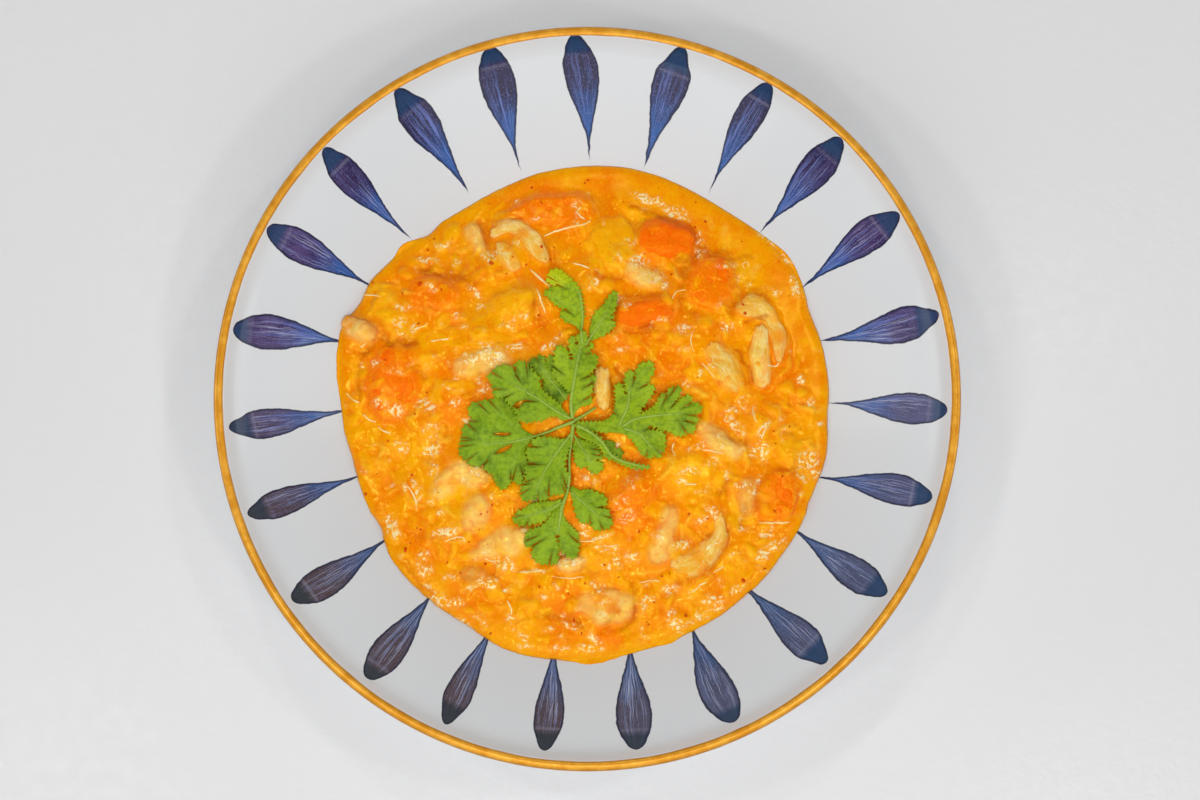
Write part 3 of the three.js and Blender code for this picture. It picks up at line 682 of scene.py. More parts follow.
# Wrinkled spots that glitter, by lamps on their wrinkles and by painted glints and a painted pale sheen: x,
# y, length, width in mm, heading in degrees, strength.
GLITTER = served((
    (-47, 43, 3.2, 0.8, -8, 1), (-38.5, 42.5, 1.6, 0.8, 20, 0.8), (-40.3, 39.7, 1.1, 0.7, 45, 1),
    (-29.5, 44, 1.4, 1.8, 0, 0.9), (-33, 32.8, 2.4, 0.9, -35, 0.9), (-38, 26, 2.2, 1.4, 20, 0.5),
    (-36.5, 22.5, 1.8, 1.0, 0, 0.8), (-55, 24, 2.0, 1.6, 40, 0.7), (-51, 22.6, 1.0, 1.2, 0, 0.8),
    (-42, 48, 2.6, 0.7, 0, 0.5), (-50, 40, 0.7, 1.4, 0, 0.5), (18, 61.3, 4.2, 1.2, -18, 1.2),
    (26, 57.2, 3.4, 1.5, -20, 0.9), (-15, 55.5, 2.6, 0.7, 10, 0.6), (12, 48, 2.2, 1.0, 0, 0.7),
    (14.6, 42, 2.6, 1.8, 30, 0.8), (18.4, 37.4, 2.8, 2.2, 0, 0.6), (-21, 61.2, 1.0, 0.6, 45, 0.9),
    (0, 63.2, 0.8, 0.6, 0, 0.8), (-3, 58, 0.8, 0.6, 0, 0.5), (2, 38.9, 1.0, 0.6, -20, 0.9),
    (21.4, 24.8, 1.4, 0.6, 30, 0.9), (-18.5, 25.8, 0.9, 0.8, 0, 0.9), (-23, 23, 1.4, 0.7, -60, 0.8),
    (33, 50.8, 0.9, 1.6, 0, 0.9), (34, 48.4, 1.2, 0.8, 0, 0.9), (41, 41.2, 3.2, 1.0, 12, 0.7),
    (47, 35.6, 1.2, 1.0, 0, 0.7), (55.6, 34, 1.3, 1.2, 0, 0.9), (61, 36, 2.2, 1.4, -50, 1),
    (62.4, 33.6, 1.6, 1.2, -50, 1.1), (53, 49.4, 3.0, 0.8, -40, 0.8), (59, 43, 3.4, 0.7, -52, 0.8),
    (28, 21.6, 2.6, 1.6, 0, 0.8), (-33.5, 13, 3.2, 1.4, 8, 1), (-28, 14.5, 3.4, 2.2, -25, 1.2),
    (-37, 8, 2.4, 1.0, 20, 0.6), (-32, 7, 1.2, 0.8, 0, 0.9), (-29.6, 3.6, 2.0, 1.2, -35, 0.7),
    (-39, 0.4, 1.8, 0.9, 25, 1.1), (-47.5, -0.6, 2.6, 1.8, -20, 0.9), (-60.4, 0.4, 2.0, 1.4, 0, 0.8),
    (-56, -2, 3.0, 1.6, 0, 0.8), (-56, 9.5, 3.0, 1.6, 0, 0.5), (-62, 11.8, 2.0, 0.8, 25, 0.7),
    (-44.6, 13.6, 1.2, 0.8, 0, 0.6), (-41, 12, 0.7, 1.6, 20, 0.6), (-46, -6.6, 2.6, 1.2, 10, 0.7),
    (-45, -12, 2.4, 2.6, 0, 0.8), (-47, -13.8, 1.2, 1.0, 0, 0.9), (-45, -19, 1.6, 1.8, 0, 0.9),
    (-62, -11, 1.3, 0.9, 0, 0.6), (-54.4, -12, 1.6, 1.4, -40, 0.7), (-58, -23.4, 1.2, 0.7, 30, 0.6),
    (-53, -24, 0.8, 1.8, 20, 0.8), (-33, -19, 1.2, 1.2, 0, 1), (-35.6, -5, 1.2, 1.4, 0, 0.7),
    (-54.5, 21, 1.4, 1.6, 30, 0.8), (-12, 16.5, 1.8, 1.4, 0, 0.9), (-21, 16.4, 2.4, 1.2, 0, 0.9),
    (10, 16, 2.4, 1.2, 0, 0.6), (0.6, -21.6, 1.8, 1.2, -40, 0.8), (12, -23.4, 1.4, 1.8, 0, 0.8),
    (9, -12, 1.2, 1.2, 0, 0.7), (29, 6, 2.4, 1.2, 0, 0.6), (42, -2, 2.6, 1.0, 20, 0.8),
    (43.6, -6.4, 3.2, 1.4, -45, 1), (48.4, -2.6, 0.8, 2.6, 0, 0.8), (51.6, -7, 3.0, 1.0, 58, 0.9),
    (50, -13, 2.8, 1.8, 0, 0.9), (65.8, 0.5, 1.2, 1.0, 0, 0.9), (68.3, -5, 0.9, 0.8, 0, 0.8),
    (45.4, -24, 2.2, 1.2, 0, 1), (49.4, -22.6, 0.8, 2.0, 0, 0.8), (62.8, -21.6, 1.8, 0.9, -35, 0.8),
    (64, -16.4, 3.4, 2.6, 20, 0.8), (66, -20, 2.6, 1.8, 0, 0.7), (29.6, -19, 2.4, 1.2, -10, 0.8),
    (36.5, -17, 1.8, 1.0, 10, 0.7), (24.4, -17, 0.7, 2.2, 0, 0.6), (40.6, -21, 1.4, 1.0, 40, 0.7),
    (-56.6, -36, 1.4, 2.2, 10, 1.1), (-58.6, -33.6, 2.0, 1.2, 10, 0.9), (-49.4, -26.6, 1.0, 1.8, 0, 0.8),
    (-42.6, -31.2, 1.2, 1.2, 0, 0.8), (-41, -37.2, 3.4, 1.2, 14, 1), (-37.6, -39.4, 2.4, 0.7, 10, 0.7),
    (-48, -44, 1.6, 1.0, 0, 1), (-47.6, -47.6, 2.2, 1.8, -35, 1), (-40, -50, 2.2, 1.4, 0, 0.6),
    (-29.6, -52, 2.8, 1.2, 14, 1.1), (-34, -53.6, 2.0, 0.8, 10, 0.8), (-46, -53, 1.4, 1.0, 0, 0.6),
    (-43, -56.6, 3.2, 1.8, -10, 0.7), (-38.4, -57.6, 2.6, 1.4, 0, 0.8), (-36, -63.4, 2.6, 1.0, -30, 0.8),
    (-31, -62.4, 2.6, 1.2, -35, 0.7), (-24, -46.4, 2.6, 1.8, -30, 1), (-29, -43, 1.6, 1.2, 0, 0.6),
    (-16, -48.6, 3.2, 0.7, 2, 1.1), (-23.4, -53.4, 1.4, 0.6, 10, 1), (-18.4, -67.6, 1.0, 1.4, 0, 0.8),
    (-10.6, -65, 1.4, 1.0, 0, 0.9), (-5, -64, 2.4, 1.0, -10, 0.9), (-8.6, -52.8, 1.2, 0.8, -50, 0.7),
    (3.4, -38.8, 2.8, 0.7, 18, 1.1), (3.4, -41.4, 1.8, 1.0, -20, 1.1), (-1, -36.6, 1.4, 1.6, 0, 0.9),
    (7.6, -42, 1.8, 2.4, 0, 0.6), (8.6, -46, 2.0, 1.8, 0, 0.8), (13, -44, 2.4, 1.4, -15, 0.6),
    (-5, -46, 3.8, 1.4, 6, 0.8), (4, -53.4, 2.2, 0.9, -28, 1.2), (5, -47.2, 1.6, 1.2, 0, 0.7),
    (15.4, -58, 1.8, 1.6, -35, 1), (17.6, -56.6, 2.0, 1.2, 10, 0.8), (23.4, -54, 2.2, 1.4, 0, 0.8),
    (24, -61, 1.6, 1.4, 0, 0.9), (16, -67.6, 1.4, 0.8, 20, 0.8), (18, -51.6, 2.2, 0.7, 15, 0.6),
    (0, -71, 2.4, 1.0, 0, 0.7), (-18, -70.4, 2.4, 1.0, 0, 0.6), (-8, -70.6, 2.6, 1.2, 0, 0.6),
    (11.4, -33, 2.6, 1.6, 0, 0.7), (11, -28, 1.4, 1.2, 0, 0.7), (20.4, -38, 1.4, 1.8, 0, 0.6),
    (33, -33.4, 1.8, 0.6, 30, 0.9), (27, -40.6, 2.4, 1.8, 20, 0.9), (36.6, -31.6, 2.4, 1.4, -45, 0.8),
    (35, -41.6, 1.4, 1.2, 0, 0.7), (44.4, -36, 1.2, 1.0, 0, 0.8), (52.4, -38.4, 1.8, 0.8, 0, 0.7),
    (51, -44, 1.8, 1.2, 10, 1.1), (54.6, -41, 2.4, 1.2, 35, 0.9), (51, -47.6, 1.8, 0.7, 0, 0.9),
    (46.4, -52, 1.6, 0.8, 10, 0.7), (43, -54, 2.2, 1.2, 20, 0.7), (36, -57, 3.6, 1.4, 15, 0.9),
    (38, -59.4, 2.6, 1.0, 10, 0.7), (32, -62, 3.2, 1.2, 15, 0.9), (26.6, -64, 2.0, 1.4, 0, 0.9),
    (26, -67, 1.4, 0.8, 0, 0.8), (4, -57.6, 3.0, 1.6, 20, 0.5), (-22, -62.4, 2.0, 1.6, -20, 0.6),
))
GLITTER_SPREAD = 1.25


def patch_share(patches, x, y):
    """How strongly any of the patches tints each place."""
    share = np.zeros_like(x)
    for at_x, at_y, reach, strength in patches:
        away = np.hypot(x - at_x, y - at_y) / reach
        share = np.maximum(share, strength * np.exp(-1.5 * away**3))
    return share


def glitter_share(x, y):
    """How finely wrinkled the wet surface is at each place."""
    share = np.zeros_like(x)
    for at_x, at_y, length, width, heading, strength in GLITTER:
        cos, sin = math.cos(math.radians(heading)), math.sin(math.radians(heading))
        along = ((x - at_x) * cos + (y - at_y) * sin) / (length * GLITTER_SPREAD)
        across = ((y - at_y) * cos - (x - at_x) * sin) / (width * GLITTER_SPREAD)
        share = np.maximum(share, strength * np.exp(-(along**2 + across**2)))
    return share


def distance_to(lines, x, y):
    """Distance from each place to the nearest of several straight lines."""
    best = np.full(np.shape(x), 1e3)
    for (x0, y0), (x1, y1) in lines:
        dx, dy = x1 - x0, y1 - y0
        share = np.clip(((x - x0) * dx + (y - y0) * dy) / max(dx * dx + dy * dy, 1e-9), 0, 1)
        best = np.minimum(best, np.hypot(x - x0 - share * dx, y - y0 - share * dy))
    return best


def crease_share(x, y):
    """How deep in a crease each place lies."""
    share = np.zeros_like(x)
    for width, strength, points in CREASES:
        points = served(points)
        away = distance_to(list(zip(points, points[1:])), x, y)
        share = np.maximum(share, strength * np.exp(-((away / width) ** 2)))
    return share


def bent(x, y, noise, size, reach):
    """Places shifted by noise, so that even forms turn ragged."""
    flat = flat_places(x, y)
    shifts = (reach * noise(flat + away, size).reshape(x.shape) for away in (0, 90))
    return tuple(line + shift for line, shift in zip((x, y), shifts))


HUE_NOISE = Noise(11)
CLOUD_NOISE = Noise(12)
BEND_NOISE = Noise(13)


def sauce_colour(x, y):
    """Colour of the sauce at places in the plate, before its relief is taken into account."""
    flat = flat_places(x, y)
    hue = HUE_NOISE.layers(flat, 13.0, 3).reshape(x.shape)
    cloud = CLOUD_NOISE.layers(flat, 4.5, 3).reshape(x.shape)
    bent_x, bent_y = bent(x, y, BEND_NOISE, 5.0, 1.6)
    colour = blend(0.42 + 0.7 * hue + 0.45 * cloud, SAUCE_MID, SAUCE_BRIGHT)
    colour = blend(0.12 - 0.9 * hue, colour, SAUCE_DEEP)
    orange = patch_share(ORANGE_PATCHES, bent_x, bent_y) * (0.85 + 0.4 * cloud)
    colour = blend(orange, colour, CARROT_MID)
    yellow = patch_share(YELLOW_PATCHES, bent_x, bent_y) * (0.8 + 0.6 * cloud)
    return blend(0.9 * yellow, colour, SAUCE_YELLOW)


# ------------------------------------------------------------------ relief of the sauce

GRID_STEP = 0.3  # mm
GRID_REACH = 80.1  # mm each way from the plate's middle
GRID_LINE = np.arange(-GRID_REACH, GRID_REACH + GRID_STEP / 2, GRID_STEP)
DEEP_DOWN = -3.0  # height of the solid bits where there are none, in mm below the even sauce
LUMP_COUNT = 520
SHRED_COUNT = 190
SCATTER_REACH = 71.0
SWIRL_SIZE = 17.0  # mm: the bits lie about the same way over stretches of this size
RANGES_OF_BIT = {
    "lump": dict(length=(3.0, 9.0), width=(2.6, 6.0), rise=(0.6, 1.5), lift=(-1.0, -0.3), bend=(-0.8, 0.8)),
    "shred": dict(length=(4.0, 10.0), width=(1.1, 2.4), rise=(0.4, 0.8), lift=(-0.5, 0.1), bend=(-1.8, 1.8)),
}
BLUNTNESS_OF_BIT = {"lump": 1, "shred": 2}
PALE_OF_BIT = {"lump": SAUCE_YELLOW, "shred": 0.6 * SAUCE_YELLOW + 0.4 * SAUCE_CREAM}
WARM_BITS = 0.22  # share of the bits that are orange


class Relief:
    """Heights above the even sauce and colours of everything in it, on a grid seen from above."""

    def __init__(self):
        self.x, self.y = np.meshgrid(GRID_LINE, GRID_LINE, indexing="ij")
        self.flat = flat_places(self.x, self.y)
        self.calm = calm_share(self.x, self.y)
        self.liquid = 0.3 * self.noise(21, 9.0, 2)
        self.solid = np.full(self.x.shape, DEEP_DOWN)
        self.colour = sauce_colour(self.x, self.y)
        patchy = 0.75 + 0.5 * self.noise(26, 5.0, 2)
        self.crease = crease_share(*bent(self.x, self.y, BEND_NOISE, 3.0, 0.7)) * np.clip(patchy, 0.3, 1)
        self.bent_x, self.bent_y = bent(self.x, self.y, Noise(24), 4.0, 1.3)
        loose = np.clip(1.6 * (self.noise(25, 6.0, 2) - 0.16), 0, 0.75) * (1 - self.calm)
        self.glitter = np.clip(np.maximum(glitter_share(self.bent_x, self.bent_y), loose), 0, 1.2)

    def noise(self, seed, size, count, fall=0.5):
        return Noise(seed).layers(self.flat, size, count, fall).reshape(self.x.shape)

    def window(self, x, y, reach):
        """The part of the grid within reach of a place."""
        last = len(GRID_LINE)
        low_x, low_y = (int(np.clip((v - reach + GRID_REACH) / GRID_STEP, 0, last - 1)) for v in (x, y))
        high_x, high_y = (int(np.clip((v + reach + GRID_REACH) / GRID_STEP + 2, 1, last)) for v in (x, y))
        return slice(low_x, high_x), slice(low_y, high_y)

    def stamp(self, bit):
        """Lays one bit of food in the sauce: a strand or a lump, curved along its length."""
        part = self.window(bit["x"], bit["y"], bit["length"] / 2 + bit["width"] + 2.0)
        dx, dy = self.bent_x[part] - bit["x"], self.bent_y[part] - bit["y"]
        cos, sin = math.cos(bit["heading"]), math.sin(bit["heading"])
        along = (dx * cos + dy * sin) / (bit["length"] / 2)
        across = (dy * cos - dx * sin - bit["bend"] * (along**2 - 0.4)) / (bit["width"] / 2)
        body = np.clip(1 - across**2 - along ** (2 * bit["blunt"]), 0, 1)
        height = bit["lift"] + bit["tilt"] * along + bit["rise"] * np.sqrt(body)
        height = np.where(body > 0, height, DEEP_DOWN)
        above = height > self.solid[part]
        self.solid[part] = np.where(above, height, self.solid[part])
        seen = above * np.clip((height - self.liquid[part] + 0.25) / 0.5, 0, 1) * bit["cover"]
        self.colour[part] = blend(seen * np.sqrt(body), self.colour[part], bit["colour"])

    def finished(self):
        """Height above the even sauce once the liquid has closed over the lower bits."""
        solid = blurred(self.solid, 0.3, 1) - 1.3 * self.calm
        gap = self.liquid - solid
        closed = 0.5 * (self.liquid + solid + np.sqrt(gap**2 + 0.05))
        rough = 1 - 0.9 * self.calm
        closed = closed + self.noise(22, 3.2, 2) * 0.28 * rough
        ridged = 0.5 - np.abs(self.noise(23, 1.5, 2, 0.6))
        closed = closed + ridged * 0.5 * self.glitter
        closed = closed - 0.6 * self.crease
        return closed * smoothstep(0.0, 2.0, inward_of(self.x, self.y))


def sampled(field, x, y):
    """Values of a grid at any places, straight between its lines."""
    u = np.clip((x + GRID_REACH) / GRID_STEP, 0, len(GRID_LINE) - 1.001)
    v = np.clip((y + GRID_REACH) / GRID_STEP, 0, len(GRID_LINE) - 1.001)
    i, j = u.astype(int), v.astype(int)
    if field.ndim == 3:
        fu, fv = (u - i)[..., None], (v - j)[..., None]
    else:
        fu, fv = u - i, v - j
    first = field[i, j] * (1 - fv) + field[i, j + 1] * fv
    second = field[i + 1, j] * (1 - fv) + field[i + 1, j + 1] * fv
    return first * (1 - fu) + second * fu


def blurred(field, reach, rounds=2):
    """A grid evened out over a reach in millimetres, by running means."""
    half = max(1, round(reach / GRID_STEP))
    for _ in range(rounds):
        for axis in (0, 1):
            padded = np.pad(field, [(half + 1, half) if a == axis else (0, 0) for a in (0, 1)], mode="edge")
            total = np.cumsum(padded, axis=axis)
            size = 2 * half + 1
            upper = np.take(total, range(size, total.shape[axis]), axis=axis)
            lower = np.take(total, range(0, total.shape[axis] - size), axis=axis)
            field = (upper - lower) / size
    return field


def spread(field, reach):
    """The highest value of a grid within a square reach, in millimetres."""
    half = max(1, round(reach / GRID_STEP))
    for axis in (0, 1):
        best = field
        for step in range(1, half + 1):
            for way in (-step, step):
                best = np.maximum(best, np.roll(field, way, axis=axis))
        field = best
    return field


def random_place(draw, reach):
    """A place anywhere on the round of the sauce, evenly likely."""
    radius = reach * math.sqrt(draw.uniform(0, 1))
    turn = draw.uniform(0, 2 * math.pi)
    return radius * math.cos(turn), radius * math.sin(turn)


def scatter_bits(relief):
    """Fills the sauce with broken vegetable, onion and shreds of chicken, most of it sunk."""
    draw = np.random.default_rng(31)
    swirl = Noise(32)
    for kind, count in (("lump", LUMP_COUNT), ("shred", SHRED_COUNT)):
        for _ in range(count):
            x, y = random_place(draw, SCATTER_REACH)
            lie = 2.6 * float(swirl(np.array([[x, y]]), SWIRL_SIZE)[0])
            bit = bit_of(kind, draw)
            bit.update(x=x, y=y, heading=lie + draw.normal(0, 0.9))
            relief.stamp(bit)


def bit_of(kind, draw):
    """Sizes and colour of one bit of food, drawn at random for its kind."""
    bit = {name: draw.uniform(*limits) for name, limits in RANGES_OF_BIT[kind].items()}
    warm = CARROT_MID if draw.uniform(0, 1) < WARM_BITS else SAUCE_BRIGHT
    pale = PALE_OF_BIT[kind]
    colour = pale + draw.uniform(0.0, 1.0) * (warm - pale)
    bit.update(tilt=draw.normal(0, 0.22), colour=colour, cover=draw.uniform(0.1, 0.6))
    return {**bit, "blunt": BLUNTNESS_OF_BIT[kind]}


# ------------------------------------------------------------------ meshes


def places_of(mesh):
    """Vertex places of a mesh in millimetres."""
    places = np.empty(len(mesh.vertices) * 3)
    mesh.vertices.foreach_get("co", places)
    return places.reshape(-1, 3) / MM


def put_places(mesh, places):
    """Moves the vertices to places in millimetres."""
    mesh.vertices.foreach_set("co", (places * MM).ravel())
    mesh.update()


def normals_of(mesh):
    normals = np.empty(len(mesh.vertices) * 3)
    mesh.vertex_normals.foreach_get("vector", normals)
    return normals.reshape(-1, 3)


def edges_of(mesh):
    edges = np.empty(len(mesh.edges) * 2, np.int32)
    mesh.edges.foreach_get("vertices", edges)
    return edges.reshape(-1, 2)


def paint(mesh, colours):
    """Gives each vertex its colour."""
    layer = mesh.color_attributes.new("tint", "FLOAT_COLOR", "POINT")
    layer.data.foreach_set("color", np.hstack([colours, np.ones((len(colours), 1))]).ravel())


def put_values(mesh, name, values):
    """Gives each vertex a number, or a vector, under this name."""
    values = np.ascontiguousarray(values, float)
    kind, field = ("FLOAT", "value") if values.ndim == 1 else ("FLOAT_VECTOR", "vector")
    mesh.attributes.new(name, kind, "POINT").data.foreach_set(field, values.ravel())


def evened(places, edges, rounds):
    """Moves each vertex towards the mean of its neighbours."""
    count = len(places)
    degree = np.bincount(edges.ravel(), minlength=count)[:, None]
    for _ in range(rounds):
        total = np.empty_like(places)
        for axis in range(3):
            first = np.bincount(edges[:, 0], places[edges[:, 1], axis], count)
            second = np.bincount(edges[:, 1], places[edges[:, 0], axis], count)
            total[:, axis] = first + second
        places = places + 0.6 * (total / degree - places)
    return places


def remeshed(name, source, grid):
    """An even mesh of a CAD node's form, on a grid in millimetres."""
    bm = bmesh.new()
    bm.from_mesh(source.data)
    bmesh.ops.remove_doubles(bm, verts=bm.verts, dist=1e-6)
    welded = bpy.data.meshes.new(name)
    bm.to_mesh(welded)
    bm.free()
    piece = bpy.data.objects.new(name, welded)
    bpy.context.scene.collection.objects.link(piece)
    modifier = piece.modifiers.new("grid", "REMESH")
    modifier.mode = "VOXEL"
    modifier.voxel_size = grid * MM
    depsgraph = bpy.context.evaluated_depsgraph_get()
    piece_mesh = bpy.data.meshes.new_from_object(piece.evaluated_get(depsgraph))
    piece.modifiers.clear()
    piece.data = piece_mesh
    piece_mesh.polygons.foreach_set("use_smooth", [True] * len(piece_mesh.polygons))
    return piece


# ------------------------------------------------------------------ pieces in the sauce


def line_coordinates(places):
    """How far along and across a piece each vertex lies, following its bend, and its direction."""
    flat = places[:, :2] - places[:, :2].mean(0)
    _, _, axes = np.linalg.svd(flat[:: max(1, len(flat) // 500)], full_matrices=False)
    along, across = flat @ axes[0], flat @ axes[1]
    return along, across - np.polyval(np.polyfit(along, across, 2), along), axes[0]


STRETCH_OF_GRAIN = {"chicken": 5.0, "onion": 6.0, "carrot": 1.6, "potato": 1.0}


def grain_of(kind, places):
    """Coordinates in which the piece's own texture runs: stretched along its fibres."""
    along, across, _ = line_coordinates(places)
    return np.stack([along / STRETCH_OF_GRAIN[kind], across, places[:, 2]], axis=1)


SHOULDER = 0.7  # mm above the sauce: a piece keeps its form up to here
FLATNESS = {"chicken": 0.55, "onion": 0.4, "carrot": 0.2, "potato": 0.45}  # taken off what stands higher
FRAY = 1.5  # mm that single strands stand out or back at the ends of the chicken


def settled(kind, places):
    """Lays a piece flatter in the sauce."""
    proud = places[:, 2] - sauce_height(places[:, 0], places[:, 1])
    places = places.copy()
    places[:, 2] -= FLATNESS[kind] * np.maximum(proud - SHOULDER, 0)
    return places


def frayed(places, seed):
    """Draws the strands out or back at the ends of a piece."""
    along, across, direction = line_coordinates(places)
    end = np.sign(along)
    strands = Noise(seed)(np.stack([across, 5 * end, 0 * end], axis=1), 1.3)
    shift = FRAY * strands * end * (np.abs(along) / np.abs(along).max()) ** 3
    places = places.copy()
    places[:, :2] += shift[:, None] * direction
    return places


PIECE_GRID = 0.42  # mm between vertices of the pieces' even meshes
RELIEF_OF_KIND = {
    # size in mm along the grain, octaves, height in mm
    "chicken": ((1.1, 3, 0.26), (3.2, 1, 0.3)),
    "onion": ((0.8, 1, 0.12), (3.0, 1, 0.3)),
    "carrot": ((1.3, 2, 0.13), (3.6, 2, 0.3)),
    "potato": ((1.2, 2, 0.1), (3.2, 1, 0.25)),
}
WARP_OF_KIND = {"chicken": 1.15, "onion": 0.4, "carrot": 0.6, "potato": 0.7}  # mm, of the whole outline
RAGGED = {
    "chicken_8": 2.6, "chicken_9": 2.4, "chicken_10": 2.4, "chicken_13": 2.0, "chicken_14": 2.4,
    "chicken_15": 2.2, "chicken_17": 2.2, "chicken_18": 2.0,
}
FULLNESS = {"chicken": 0.35, "onion": 0.2, "carrot": 0.0, "potato": 0.1}  # mm, on every side
COLOURS_OF_KIND = {
    "chicken": (CHICKEN_DEEP, CHICKEN_MID, CHICKEN_PALE),
    "onion": (ONION_DEEP, ONION_MID, ONION_PALE),
    "carrot": (CARROT_DEEP, CARROT_MID, CARROT_LIGHT),
    "potato": (POTATO_DEEP, POTATO_MID, POTATO_PALE),
}
# Spots where sauce lies on the pieces, from the middle of the serving: x, y, reach in mm, strength.
STAINS = served((
    (31.6, -44.2, 3.2, 0.95), (28, -48.6, 2.2, 0.8), (37.6, -44, 1.6, 0.6), (45, 7.4, 2.8, 0.85),
    (37, 15.5, 2.2, 0.45), (48.4, 28.6, 2.4, 0.45), (56, 26, 3.0, 0.9), (56, 20, 3.4, 0.95),
    (55.6, 14.6, 2.4, 0.7), (50.4, 21, 1.6, 0.5), (53.6, 13.6, 1.8, 0.5), (-24, 47, 2.2, 0.8),
    (-19, 50.6, 2.6, 0.85), (-14.6, 45.6, 2.2, 0.8), (-27, 53, 1.6, 0.6), (-34.6, 48, 1.8, 0.5),
    (3.6, -56.4, 3.4, 0.95), (6.6, -58.2, 2.6, 0.9), (0.6, -60.4, 1.6, 0.6), (-38.6, -22.6, 2.4, 0.6),
    (-26, -41.6, 2.2, 0.5),
))
WHITISH = {"chicken_8": 0.75, "chicken_9": 0.7, "chicken_10": 0.6, "chicken_16": 0.8, "chicken_17": 0.6}
STAIN_OF_KIND = {"chicken": 0.55, "onion": 0.5, "carrot": 0.35, "potato": 0.4}


def dress_piece(name, node):
    """Replaces a CAD piece by its worked-out form: its own relief, and colours stained by the sauce."""
    kind = name.split("_")[0]
    seed = 100 + sum(ord(letter) * (k + 3) for k, letter in enumerate(name))
    piece = remeshed(name + "_piece", node, PIECE_GRID)
    mesh = piece.data
    places = evened(places_of(mesh), edges_of(mesh), 5)
    put_places(mesh, places)
    normals = normals_of(mesh)
    grain = grain_of(kind, places)
    relief = [
        height * Noise(seed + k).layers(grain, size, count, 0.6)
        for k, (size, count, height) in enumerate(RELIEF_OF_KIND[kind])
    ]
    warp = RAGGED.get(name, WARP_OF_KIND[kind]) * Noise(seed + 3).layers(places, 6.0, 2)
    places = places + normals * (sum(relief) + warp + FULLNESS[kind])[:, None]
    places = settled(kind, places)
    if kind == "chicken":
        places = frayed(places, seed + 11)
    put_places(mesh, places)
    steep = 1 - smoothstep(0.3, 0.75, normals[:, 2])
    stain = stain_share(kind, places, steep, seed)
    colours = piece_colours(kind, places, grain, relief[0], stain, seed)
    whitish = WHITISH.get(name, 0.0) * (0.7 + 0.8 * Noise(seed + 13).layers(places, 3.5, 2))
    paint(mesh, blend(whitish * (1 - stain), colours, CHICKEN_WHITE))
    put_values(mesh, "steep", steep)
    put_values(mesh, "bare", 1 - stain)
    put_values(mesh, "grain", grain)
    put_values(mesh, "glitter", glitter_share(places[:, 0], places[:, 1]))
    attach(piece, "root")
    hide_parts(name)
    return piece


def stain_share(kind, places, steep, seed):
    """How much sauce clings to each place: near the sauce, in patches and on the steep sides."""
    x, y = places[:, 0], places[:, 1]
    proud = places[:, 2] - sauce_height(x, y)
    ragged = Noise(seed + 7).layers(places, 3.0, 2)
    low = 1 - smoothstep(0.3, 1.9, proud + 0.8 * ragged)
    spots = smoothstep(-0.05, 0.4, Noise(seed + 9).layers(places, 4.2, 2))
    stain = np.maximum(low, spots * STAIN_OF_KIND[kind])
    stain = np.maximum(stain, patch_share(STAINS, x, y))
    return np.clip(np.maximum(stain, steep), 0, 1)


def piece_colours(kind, places, grain, fine, stain, seed):
    """Deep in the grooves, pale on the ridges, stained by the sauce, and darkened by painted shade in the
    creases.
    """
    deep, mid, pale = COLOURS_OF_KIND[kind]
    broad = Noise(seed + 5).layers(grain, 2.8, 3)
    ridge = np.clip(fine / 0.25 + 0.9 * broad, -1, 1)
    colours = blend(ridge, np.broadcast_to(mid, places.shape), pale)
    colours = blend(-ridge * 0.8, colours, deep)
    x, y = places[:, 0], places[:, 1]
    colours = blend(0.9 * stain, colours, sauce_colour(x, y))
    # Painted shade in the creases.
    return blend(0.8 * crease_share(x, y), colours, CREASE_SHADE)


# ------------------------------------------------------------------ the sauce

KINDS = tuple(RELIEF_OF_KIND)
# How far up a piece, in mm above the sauce, a thin film of sauce covers it: usually, and on single pieces.
FILM_OF_KIND = {"chicken": 1.0, "onion": 0.7, "carrot": 1.2, "potato": 1.4}
FILM_OF_PIECE = {
    "chicken_1": 0.4, "chicken_2": 0.5, "chicken_4": 0.35, "chicken_5": 0.25, "chicken_6": 0.45,
    "chicken_7": 0.4, "chicken_8": 1.25, "chicken_9": 1.35, "chicken_10": 1.2, "chicken_11": 0.4,
    "chicken_13": 1.2, "chicken_14": 1.2, "chicken_15": 1.5, "chicken_17": 1.0, "chicken_18": 1.1,
    "carrot_1": 1.7, "carrot_2": 0.5, "carrot_3": 1.6, "carrot_4": 0.8, "carrot_6": 2.0, "carrot_7": 1.0,
    "carrot_8": 0.7, "carrot_9": 1.8, "potato_1": 0.4,
}
FILM_THICKNESS = 0.12
RAY_START = 0.08  # metres above the table, clear of all food


